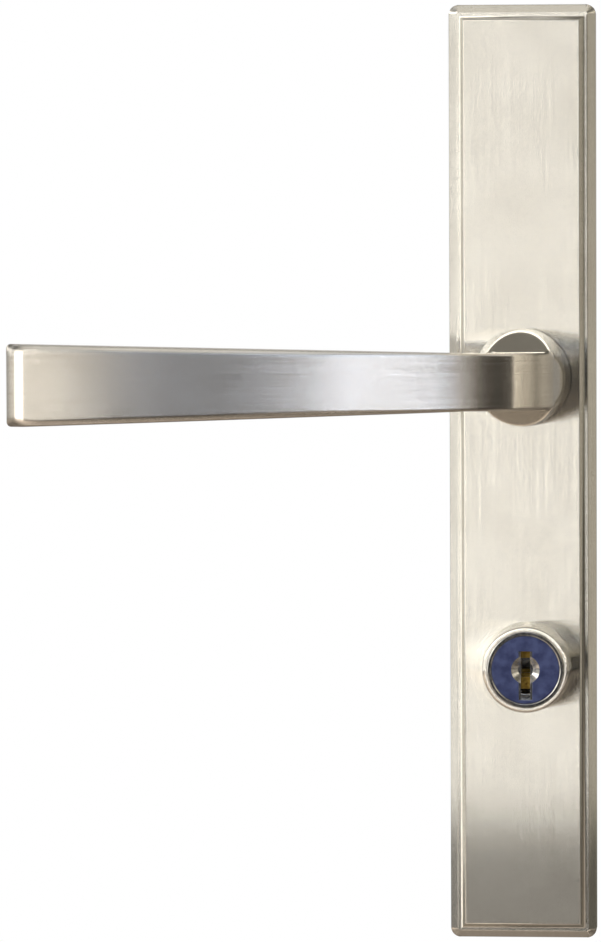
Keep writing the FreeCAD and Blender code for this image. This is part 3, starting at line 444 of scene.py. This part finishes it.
# %% [markdown]
# The shader has to know on every face which way the belt went. A mesh could be unwrapped for that, but
# each seam would break the scratches. So every face gets flat coordinates of its own, with one axis along
# the scratches and one across them. On the plate the belt went upright.

# %% Which way the scratches run
UPRIGHT = 2
# The sine of the angle under which a face's normal counts as lined up with the scratches.
LINED_UP = 0.2


def grain_map(mesh, along):
    """Give a mesh the UV map "grain", in metres: on each face U runs across the scratches and V along.
    V is the point's coordinate on the axis with this number; U is the point dotted with the cross
    product of that axis and the face's normal, or another axis where the two line up."""
    count = len(mesh.polygons)
    normals = np.empty(count * 3)
    mesh.polygons.foreach_get("normal", normals)
    normals = normals.reshape(-1, 3)
    starts = np.empty(count, int)
    totals = np.empty(count, int)
    mesh.polygons.foreach_get("loop_start", starts)
    mesh.polygons.foreach_get("loop_total", totals)
    axis = np.eye(3)[along]
    other = np.eye(3)[(along + 1) % 3]
    across = np.cross(normals, axis)
    lined_up = np.linalg.norm(across, axis=1) < LINED_UP
    across[lined_up] = np.cross(normals[lined_up], other)
    across /= np.linalg.norm(across, axis=1, keepdims=True)
    corner_vertex = np.empty(len(mesh.loops), int)
    mesh.loops.foreach_get("vertex_index", corner_vertex)
    points = np.empty(len(mesh.vertices) * 3)
    mesh.vertices.foreach_get("co", points)
    points = points.reshape(-1, 3)[corner_vertex]
    face_of_corner = np.repeat(np.arange(count), totals)
    u = np.einsum("ij,ij->i", points, across[face_of_corner])
    v = points @ axis
    layer = mesh.uv_layers.new(name="grain")
    layer.data.foreach_set("uv", np.stack([u, v], 1).ravel())


print("the scratches of the plate follow", "xyz"[UPRIGHT])

# %% [markdown]
# A casting's edges are never knife sharp: the mould has a small radius, and brushing and plating round
# it more. Each rigid solid that shows is copied, its loose triangles are welded and joined back
# into flat faces, and a Bevel modifier rounds its sharp edges.

# %% Rounded copies of the solids
WELD = 1e-6
FLAT_ANGLE = math.radians(0.7)
SHARP_ANGLE = math.radians(28)
FLAT_AREA_MM2 = 60
ON_THE_DOOR_MM = 0.5
BEVEL_SEGMENTS = 3


def rounded_copy(node, body, material, radius_mm, longest_short_edge_mm=0, sharp_back=False):
    """Replace a CAD node by a welded copy in this material. Its sharp edges are rounded, save those
    shorter than longest_short_edge_mm, which are the facets of edges that the solid has round already,
    and, with sharp_back, those that lie on the door."""
    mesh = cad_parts[node].data.copy()
    mesh.name = node + "_rounded"
    mesh.materials.clear()
    work = bmesh.new()
    work.from_mesh(mesh)
    bmesh.ops.remove_doubles(work, verts=work.verts, dist=WELD)
    bmesh.ops.dissolve_limit(work, angle_limit=FLAT_ANGLE, verts=work.verts, edges=work.edges)
    weight = work.edges.layers.float.new("bevel_weight_edge")
    for edge in work.edges:
        sharp = edge.is_manifold and edge.calc_face_angle() > SHARP_ANGLE
        kept = sharp_back and min(edge.verts[0].co.y, edge.verts[1].co.y) > -ON_THE_DOOR_MM * MM
        edge[weight] = float(sharp and not kept and edge.calc_length() > longest_short_edge_mm * MM)
    work.to_mesh(mesh)
    work.free()
    grain_map(mesh, UPRIGHT)
    mesh.materials.append(material)
    areas = np.empty(len(mesh.polygons))
    mesh.polygons.foreach_get("area", areas)
    mesh.polygons.foreach_set("use_smooth", areas < FLAT_AREA_MM2 * MM ** 2)
    mesh.set_sharp_from_angle(angle=SHARP_ANGLE)
    piece = bpy.data.objects.new(node + "_rounded", mesh)
    bpy.context.scene.collection.objects.link(piece)
    bevel = piece.modifiers.new("edge_rounding", "BEVEL")
    bevel.width = radius_mm * MM
    bevel.segments = BEVEL_SEGMENTS
    bevel.limit_method = "WEIGHT"
    bevel.use_clamp_overlap = longest_short_edge_mm == 0
    flat_stays_flat = piece.modifiers.new("flat_stays_flat", "WEIGHTED_NORMAL")
    flat_stays_flat.weight = 90
    flat_stays_flat.keep_sharp = True
    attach(piece, body)
    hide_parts(node)
    print(node, "rounded:", len(mesh.polygons), "faces before the bevel")


rounded_copy("escutcheon_plate", "plate", plate_nickel, 0.28,
             longest_short_edge_mm=2.5, sharp_back=True)

# %% [markdown]
# The lever is one casting: a bowed, tapering bar that rolls over an elbow into a cone. It could be
# boxed out and subdivided, but its long soft reflections need exact curves. So it is written as
# distances to its own faces, joined with rounded corners, and each ring of the mesh is found where
# rays from inside the bar cross that surface.

# %% Lever: outline values in plan
REACH = 130.8
TIP_FRONT = (-REACH, 39.7)
TIP_BACK = (-REACH, 33.2)
BOW_END = (-20, 39.0)
CREASE = (-1.5, 36.8)
ROLL_END = (8.9, 27.6)
BOW_RADIUS = 940
SHOULDER_RADIUS = 190
ROLL_RADIUS = 13.1
NECK_RADIUS = 12.75
NECK_BASE = 8.8
NECK_TAPER = 0.084
SIDE_FOOT = (13.05, NECK_BASE)
ROOT_BACK = (-13.05, 32.4)
TIP_HALF = 10.65
ROOT_HALF = 7.35
TIP_DROP = 0.75
FLAT_TOP = 30.5
FLAT_SLOPE = 0.32
TIP_FRONT_ROUND = 5.2
TIP_BACK_ROUND = 1.3
TIP_EDGE_ROUND = 3.0
ARM_EDGE_ROUND = 1.9
ELBOW_EDGE_ROUND = 0.9
BACK_EDGE_ROUND = 1.2
NECK_EDGE_ROUND = 0.3
INTO_NECK = 6
ARMPIT_ROUND = 1.0
ALMOST_SHARP = 0.02
# Where the roundings and the arm's back change along the lever, and over what length.
ARMPIT_X = -9
BACK_SINKS_OVER = 5
FILLET_FADES_OVER = 4
THINNER_EDGE_X = -60
THINNER_EDGE_OVER = 50
TIP_EDGE_OVER = 9
BACK_EDGE_ZONE = 1.5
BACK_EDGE_OVER = 2


def arc_centre(start, end, radius):
    """Return the centre of an arc that bulges to larger depth: from the chord's middle, go square to
    the chord, away from the bulge, by the square root of radius^2 - (chord/2)^2."""
    start, end = np.array(start), np.array(end)
    chord = end - start
    half = np.linalg.norm(chord) / 2
    inward = np.array([chord[1], -chord[0]]) / (2 * half)
    return (start + end) / 2 + inward * math.sqrt(radius ** 2 - half ** 2)


BOW_CENTRE = arc_centre(TIP_FRONT, BOW_END, BOW_RADIUS)
SHOULDER_CENTRE = arc_centre(BOW_END, CREASE, SHOULDER_RADIUS)
ROLL_CENTRE = arc_centre(CREASE, ROLL_END, ROLL_RADIUS)
side_way = np.array(SIDE_FOOT) - np.array(ROLL_END)
SIDE_NORMAL = np.array([-side_way[1], side_way[0]]) / np.linalg.norm(side_way)
ROLL_LAST = math.atan2(ROLL_END[0] - ROLL_CENTRE[0], ROLL_END[1] - ROLL_CENTRE[1])
print("roll centre", np.round(ROLL_CENTRE, 2), "side normal", np.round(SIDE_NORMAL, 3))

# %% [markdown]
# A distance says how far a point lies outside a face, and is negative inside it. A point is inside two
# faces where the larger of its two distances is negative. Near their edge the two distances are taken
# as the short sides of a right triangle, whose long side then gives the rounding.


# %% Lever: the surface as distances
def rounded_both(a, b, radius):
    """Distance to the part that is inside a and inside b, its edge rounded to this radius:
    the length of (max(a + r, 0), max(b + r, 0)) - r, plus min(max(a, b) + r, 0)."""
    return (np.hypot(np.maximum(a + radius, 0), np.maximum(b + radius, 0)) - radius
            + np.minimum(np.maximum(a, b) + radius, 0))


def rounded_either(a, b, radius):
    """Distance to what is inside a or inside b, with a fillet of this radius in the corner."""
    return -rounded_both(-a, -b, radius)


def mix(low, high, share):
    """Go from low to high along a smooth step, share^2*(3 - 2*share)."""
    share = np.clip(share, 0, 1)
    return low + (high - low) * share ** 2 * (3 - 2 * share)


def front_distance(x, d):
    """Distance outside the front outline: distance to the bow's, shoulder's or roll's centre less
    its radius, or distance past the straight side, whichever stretch is nearest."""
    bow = np.hypot(x - BOW_CENTRE[0], d - BOW_CENTRE[1]) - BOW_RADIUS
    shoulder = np.hypot(x - SHOULDER_CENTRE[0], d - SHOULDER_CENTRE[1]) - SHOULDER_RADIUS
    roll_x, roll_d = x - ROLL_CENTRE[0], d - ROLL_CENTRE[1]
    rolled = np.hypot(roll_x, roll_d) - ROLL_RADIUS
    side = (x - ROLL_END[0]) * SIDE_NORMAL[0] + (d - ROLL_END[1]) * SIDE_NORMAL[1]
    right = np.where(np.arctan2(roll_x, roll_d) < ROLL_LAST, rolled, side)
    return np.where(x < BOW_END[0], bow, np.where(x < CREASE[0], shoulder, right))


def lever_distance(x, d, z):
    """Distance outside the lever: the arm is inside its front, back, tip, top and bottom faces; the
    neck is inside its cone, its two sloped flats and the same front; the lever is either."""
    share = np.clip((x + REACH) / (REACH + ROOT_BACK[0]), 0, 1)
    top = TIP_HALF - TIP_DROP + (ROOT_HALF - TIP_HALF + TIP_DROP) * share
    low = -TIP_HALF - TIP_DROP + (TIP_HALF + TIP_DROP - ROOT_HALF) * share
    back_depth = TIP_BACK[1] + (ROOT_BACK[1] - TIP_BACK[1]) * share
    back = back_depth - mix(0, INTO_NECK, (x - ARMPIT_X) / BACK_SINKS_OVER) - d
    front = front_distance(x, d)
    tip = -REACH - x
    faces = np.maximum(rounded_both(front, tip, TIP_FRONT_ROUND), rounded_both(back, tip, TIP_BACK_ROUND))
    beyond_tip = mix(ARM_EDGE_ROUND, ELBOW_EDGE_ROUND, (x - THINNER_EDGE_X) / THINNER_EDGE_OVER)
    front_round = mix(TIP_EDGE_ROUND, beyond_tip, (x + REACH) / TIP_EDGE_OVER)
    edge_round = mix(BACK_EDGE_ROUND, front_round, (-back - BACK_EDGE_ZONE) / BACK_EDGE_OVER)
    arm = rounded_both(faces, np.maximum(z - top, low - z), edge_round)

    cone = (np.hypot(x, z) - NECK_RADIUS + NECK_TAPER * (d - NECK_BASE)) / math.hypot(1, NECK_TAPER)
    flat_half = ROOT_HALF + FLAT_SLOPE * np.maximum(FLAT_TOP - d, 0)
    flats = (np.abs(z) - flat_half) / math.hypot(1, FLAT_SLOPE)
    neck = rounded_both(cone, flats, NECK_EDGE_ROUND)
    neck = rounded_both(neck, front, ELBOW_EDGE_ROUND)
    neck = np.maximum(neck, d - ROOT_BACK[1])
    fillet = mix(ARMPIT_ROUND, ALMOST_SHARP, (x - ARMPIT_X) / FILLET_FADES_OVER)
    return rounded_either(arm, neck, fillet)


print("the neck's middle lies", round(-float(lever_distance(0.0, 20.0, 0.0)), 2), "mm inside the surface")

# %% [markdown]
# The mesh is a row of rings, as if the lever were sliced. Along the arm the slices stand square to it,
# round the elbow they fan out from a point in the armpit, and down the neck they lie flat, so that no
# slice crosses another. This cell sets the middle and the tilt of every slice.

# %% Lever: rings from the tip to the base
ARM_RINGS = 150
TIP_RINGS = 26
ELBOW_RINGS = 70
NECK_RINGS = 48
AROUND = 240
PIVOT = (-14.0, 29.5)
FAN_INNER = (2.9, 3.0)
TIP_RUN = 7
TIP_CROWDING = 2.2
FIRST_RING = 0.004
TIP_MIDDLE_OVER = 5
# How many points the front outline is drawn with, over the shoulder and over the roll.
PATH_POINTS = (400, 300)


def smooth_steps(start, end, count, power):
    """Return count numbers from start to end, packed closer near the start by this power."""
    return start + (end - start) * np.linspace(0, 1, count) ** power


tip_x = smooth_steps(-REACH + FIRST_RING, -REACH + TIP_RUN, TIP_RINGS, TIP_CROWDING)
arm_x = np.linspace(-REACH + TIP_RUN, PIVOT[0], ARM_RINGS + 1)[1:]
straight_x = np.concatenate([tip_x, arm_x])
share = (straight_x + REACH) / (REACH + ROOT_BACK[0])
back_depth = TIP_BACK[1] + (ROOT_BACK[1] - TIP_BACK[1]) * share
bow_depth = BOW_CENTRE[1] + np.sqrt(BOW_RADIUS ** 2 - (straight_x - BOW_CENTRE[0]) ** 2)
before_shoulder = straight_x - SHOULDER_CENTRE[0]
shoulder_depth = SHOULDER_CENTRE[1] + np.sqrt(SHOULDER_RADIUS ** 2 - before_shoulder ** 2)
front_depth = np.where(straight_x < BOW_END[0], bow_depth, shoulder_depth)
# The round at the tip is deeper in front than behind, so its rings start from where the two meet.
tip_middle = TIP_BACK[1] + TIP_BACK_ROUND
middle = mix(tip_middle, (front_depth + back_depth) / 2, (straight_x + REACH) / TIP_MIDDLE_OVER)
straight_centre = np.stack([straight_x, middle], 1)
straight_angle = np.full(len(straight_x), np.pi / 2)

# Round the elbow the rings fan out from a pivot in the armpit, through evenly spaced front points.
elbow_front = np.linspace(PIVOT[0], 0, PATH_POINTS[0])
shoulder_x = np.minimum(elbow_front, CREASE[0]) - SHOULDER_CENTRE[0]
shoulder_depth = SHOULDER_CENTRE[1] + np.sqrt(SHOULDER_RADIUS ** 2 - shoulder_x ** 2)
on_shoulder = elbow_front < CREASE[0]
roll_angles = np.linspace(math.atan2(CREASE[0] - ROLL_CENTRE[0], CREASE[1] - ROLL_CENTRE[1]),
                          math.acos((PIVOT[1] - ROLL_CENTRE[1]) / ROLL_RADIUS), PATH_POINTS[1])
shoulder_path = np.stack([elbow_front[on_shoulder], shoulder_depth[on_shoulder]], 1)
roll_path = np.stack([ROLL_CENTRE[0] + ROLL_RADIUS * np.sin(roll_angles),
                      ROLL_CENTRE[1] + ROLL_RADIUS * np.cos(roll_angles)], 1)
front_path = np.concatenate([shoulder_path, roll_path])
run = np.concatenate([[0], np.cumsum(np.linalg.norm(np.diff(front_path, axis=0), axis=1))])
wanted = np.linspace(0, run[-1], ELBOW_RINGS + 1)[1:]
fan_front = np.stack([np.interp(wanted, run, front_path[:, axis]) for axis in (0, 1)], 1)
fan_angle = np.arctan2(fan_front[:, 1] - PIVOT[1], fan_front[:, 0] - PIVOT[0])
fan_way = np.stack([np.cos(fan_angle), np.sin(fan_angle)], 1)
inner_run = np.linspace(*FAN_INNER, ELBOW_RINGS)
fan_inner = np.array(PIVOT) + fan_way * inner_run[:, None]
fan_centre = (fan_front + fan_inner) / 2

neck_depth = np.linspace(PIVOT[1], NECK_BASE, NECK_RINGS + 1)[1:]
cone_radius = NECK_RADIUS - NECK_TAPER * (neck_depth - NECK_BASE)
side_x = ROLL_END[0] + (ROLL_END[1] - neck_depth) * SIDE_NORMAL[1] / SIDE_NORMAL[0]
roll_x = ROLL_CENTRE[0] + np.sqrt(np.maximum(ROLL_RADIUS ** 2 - (neck_depth - ROLL_CENTRE[1]) ** 2, 0))
front_x = np.minimum(np.where(neck_depth > ROLL_END[1], roll_x, side_x), cone_radius)
neck_centre = np.stack([(front_x - cone_radius) / 2, neck_depth], 1)
neck_angle = np.zeros(NECK_RINGS)

centres = np.concatenate([straight_centre, fan_centre, neck_centre])
angles = np.concatenate([straight_angle, fan_angle, neck_angle])
print("lever rings:", len(centres))

# %% [markdown]
# In each slice rays run out from the middle like spokes. A ray is walked in short steps until it leaves
# the lever, and the place is then found exactly by halving the last step again and again.

# %% Lever: shoot the rays
REACH_OF_RAYS = 24
RAY_STEPS = 96
HALVINGS = 26
# The half width with which the fan of rays starts in the arm.
ARM_HALF_THICK = 3.2
# How the rays crowd: 0.5 packs them into the corners of the flat arm, 1 spreads them evenly.
FLAT_CROWDING, ROUND_CROWDING = 0.5, 1.0


def find_surface(centres, angles, middles, half_wide, half_high, square):
    """Return ring points (rings, AROUND, 3) as x, depth, z. Ray j of a ring runs from its centre in
    the direction (wide*f(cos a), high*f(sin a)), where f(c) is c's sign times |c|^square. Each ray
    is walked in equal steps to the first step outside, and that step is then halved again and again."""
    turn = np.linspace(-np.pi, np.pi, AROUND, endpoint=False)
    cosine, sine = np.cos(turn)[None, :], np.sin(turn)[None, :]
    across = half_wide[:, None] * np.sign(cosine) * np.abs(cosine) ** square[:, None]
    up = half_high[:, None] * np.sign(sine) * np.abs(sine) ** square[:, None]
    length = np.hypot(across, up)
    across, up = across / length, up / length
    way = np.stack([across * np.cos(angles)[:, None], across * np.sin(angles)[:, None], up], -1)
    start = np.stack([centres[:, 0], centres[:, 1], middles], -1)[:, None, :]

    def outside(distance):
        point = start + way * distance[..., None]
        return lever_distance(point[..., 0], point[..., 1], point[..., 2]) > 0

    inside_run = np.zeros(length.shape)
    outside_run = np.full(length.shape, float(REACH_OF_RAYS))
    found = np.zeros(length.shape, bool)
    for run in np.linspace(0, REACH_OF_RAYS, RAY_STEPS + 1)[1:]:
        now = outside(np.full(length.shape, run))
        first = now & ~found
        outside_run[first] = run
        inside_run[~now & ~found] = run
        found |= now
    for _ in range(HALVINGS):
        middle_run = (inside_run + outside_run) / 2
        beyond = outside(middle_run)
        outside_run = np.where(beyond, middle_run, outside_run)
        inside_run = np.where(beyond, inside_run, middle_run)
    return start + way * ((inside_run + outside_run) / 2)[..., None]


arm_share = np.clip((centres[:, 0] + REACH) / (REACH + ROOT_BACK[0]), 0, 1)
in_arm = np.arange(len(centres)) < len(straight_x)
middles = np.where(in_arm, -TIP_DROP * (1 - arm_share), 0)
progress = np.clip((np.arange(len(centres)) - len(straight_x)) / (ELBOW_RINGS + NECK_RINGS - 1), 0, 1)
half_wide = mix(ARM_HALF_THICK, NECK_RADIUS, progress)
half_high = mix(TIP_HALF + (ROOT_HALF - TIP_HALF) * arm_share, NECK_RADIUS, progress)
square = mix(FLAT_CROWDING, ROUND_CROWDING, progress)
rings = find_surface(centres, angles, middles, half_wide, half_high, square)
print("rays:", rings.shape[0] * rings.shape[1], "from x", np.round(rings[..., 0].min(), 2),
      "to", np.round(rings[..., 0].max(), 2))

# %% [markdown]
# Behind the neck the same casting goes on as a journal, which turns in the plate, and a tail with two
# flats and a square socket for the spindle. These are rings too: at each angle the ring's radius is a
# circle's, a flat's or a square's, whichever the ray meets first.

# %% Lever: journal, tail and socket
RIM = 1.4
RELIEF_DEPTH = 9.25
JOURNAL_RADIUS = 7
JOURNAL_END = 2.47
TAIL_RADIUS = 6.2
TAIL_HALF_FLAT = 5
TAIL_END = 0.3
GROOVE = (0.82, 1.47)
GROOVE_RADIUS = 5.5
SOCKET_HALF = 3.58
SOCKET_DEPTH = 19.08
EDGE = 0.15
NOT_ZERO = 1e-6


def ring_at(radius, depth):
    """Return one ring of points about the lever's axis: radius(angle) out, at this depth."""
    turn = np.linspace(-np.pi, np.pi, AROUND, endpoint=False)
    out = radius(turn) if callable(radius) else np.full(AROUND, float(radius))
    return np.stack([out * np.cos(turn), np.full(AROUND, float(depth)), out * np.sin(turn)], -1)


def double_d(radius, half_flat):
    """Return the radius of a circle with two flats, min(r, half_flat/|cos a|), as a function of a."""
    return lambda turn: np.minimum(radius, half_flat / np.maximum(np.abs(np.cos(turn)), NOT_ZERO))


def square_hole(half):
    """Return the radius of a square, half/max(|cos a|, |sin a|), as a function of a."""
    return lambda turn: half / np.maximum(np.abs(np.cos(turn)), np.abs(np.sin(turn)))


tail = double_d(TAIL_RADIUS, TAIL_HALF_FLAT)
groove = double_d(GROOVE_RADIUS, TAIL_HALF_FLAT)
behind = [
    (NECK_RADIUS - RIM, NECK_BASE), (NECK_RADIUS - RIM, RELIEF_DEPTH), (JOURNAL_RADIUS, RELIEF_DEPTH),
    (JOURNAL_RADIUS, JOURNAL_END + EDGE), (JOURNAL_RADIUS - EDGE, JOURNAL_END), (tail, JOURNAL_END),
    (tail, GROOVE[1]), (groove, GROOVE[1]), (groove, GROOVE[0]), (tail, GROOVE[0]), (tail, TAIL_END + EDGE),
    (double_d(TAIL_RADIUS - EDGE, TAIL_HALF_FLAT - EDGE), TAIL_END), (square_hole(SOCKET_HALF), TAIL_END),
    (square_hole(SOCKET_HALF), SOCKET_DEPTH),
]
rings = np.concatenate([rings] + [ring_at(*spec)[None] for spec in behind])
print("lever rings with the journal and socket:", len(rings))
# %% [markdown]
# Faces with four sides join each ring to the next, and a fan of triangles closes the first and the last.
# The grain's coordinates come with the rings: one runs round them and one along the lever, which is the
# way of the belt there.

# %% Lever: from rings to a mesh
LEVER_SHARP_ANGLE = math.radians(35)


def mesh_from_rings(name, rings):
    """Make a closed mesh from rings (rings, around, 3) in x, depth, z millimetres: four-sided faces
    between neighbours, and a fan of triangles to the middle of the first and last ring. Its grain
    map has U round the ring and V along the row of rings, both in metres."""
    count, around = rings.shape[:2]
    points = to_world(rings[..., 0], rings[..., 1], rings[..., 2]).reshape(-1, 3)
    row, column = np.meshgrid(np.arange(count - 1), np.arange(around), indexing="ij")
    right = (column + 1) % around
    quads = np.stack([row * around + column, row * around + right, (row + 1) * around + right,
                      (row + 1) * around + column], -1).reshape(-1, 4)
    step = np.linalg.norm(np.roll(rings, -1, axis=1) - rings, axis=2)
    u = np.concatenate([np.zeros((count, 1)), np.cumsum(step, axis=1)], 1)
    u = (u - u[:, around // 2, None]) * MM
    v = np.concatenate([[0], np.cumsum(np.linalg.norm(np.diff(rings.mean(1), axis=0), axis=1))]) * MM
    quad_uv = np.stack([
        np.stack([u[:-1, :-1], u[:-1, 1:], u[1:, 1:], u[1:, :-1]], -1),
        np.stack(np.broadcast_arrays(v[:-1, None], v[:-1, None], v[1:, None], v[1:, None]), -1)
        + np.zeros((count - 1, around, 4))], -1).reshape(-1, 2)
    faces = quads.tolist()
    caps = []
    for first, turned in ((0, True), ((count - 1) * around, False)):
        hub = len(points)
        points = np.vstack([points, points[first:first + around].mean(0)])
        here = first + np.arange(around)
        after = first + (np.arange(around) + 1) % around
        middle = np.full(around, hub)
        fan = np.stack([after, here, middle] if turned else [here, after, middle], -1)
        faces += fan.tolist()
        caps.append(points[fan].reshape(-1, 3)[:, (0, 2)])
    mesh = bpy.data.meshes.new(name)
    mesh.from_pydata(points.tolist(), [], faces)
    layer = mesh.uv_layers.new(name="grain")
    layer.data.foreach_set("uv", np.vstack([quad_uv] + caps).ravel())
    mesh.polygons.foreach_set("use_smooth", [True] * len(mesh.polygons))
    corners = points[quads]
    volume = np.einsum("ij,ij->i", corners[:, 0], np.cross(corners[:, 1], corners[:, 2])).sum()
    if volume < 0:
        mesh.flip_normals()
    return mesh


lever_mesh = mesh_from_rings("lever_casting", rings)
lever_mesh.materials.append(lever_nickel)
lever_mesh.set_sharp_from_angle(angle=LEVER_SHARP_ANGLE)
lever = bpy.data.objects.new("lever_casting", lever_mesh)
bpy.context.scene.collection.objects.link(lever)
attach(lever, "lever")
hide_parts("lever")
print("lever:", len(lever_mesh.polygons), "faces")

# %% [markdown]
# The remaining pieces keep their CAD shape, with rounded edges where they show and with the finish of
# the real thing.

# %% Finishes on the other pieces
ROUNDED = {
    "lock_housing": ("plate", bright_nickel, "bright_nickel", 0.15),
    "plug_face_cover": ("plug", blue_enamel, "blue_face", 0.1),
    "lock_plug": ("plug", bright_nickel, "bright_nickel", 0.1),
    "lock_nut": ("plate", zinc_steel, "zinc_plated_steel", 0.3),
    "spindle": ("lever", zinc_steel, "zinc_plated_steel", 0.25),
    "lever_driver": ("lever", zinc_steel, "zinc_plated_steel", 0.15),
    "tailpiece": ("plug", zinc_steel, "zinc_plated_steel", 0.15),
}
for node, (body, material, slot, radius) in ROUNDED.items():
    rounded_copy(node, body, material, radius)

CARRIED_OVER = {
    "lever_bushing": acetal,
    "lever_retaining_ring": spring_steel,
    "lever_return_spring": spring_steel,
    "spindle_pin": spring_steel,
    "mounting_posts": zinc_steel,
    "lock_washer": zinc_steel,
    "lock_wafer_springs": spring_steel,
    "plug_clip": spring_steel,
    "tailpiece_pin": spring_steel,
    **{f"lock_wafer_{number}": brass for number in range(1, 6)},
}
for node, material in CARRIED_OVER.items():
    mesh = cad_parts[node].data
    mesh.materials.clear()
    mesh.materials.append(material)
print("finishes on", len(ROUNDED) + len(CARRIED_OVER), "more pieces")
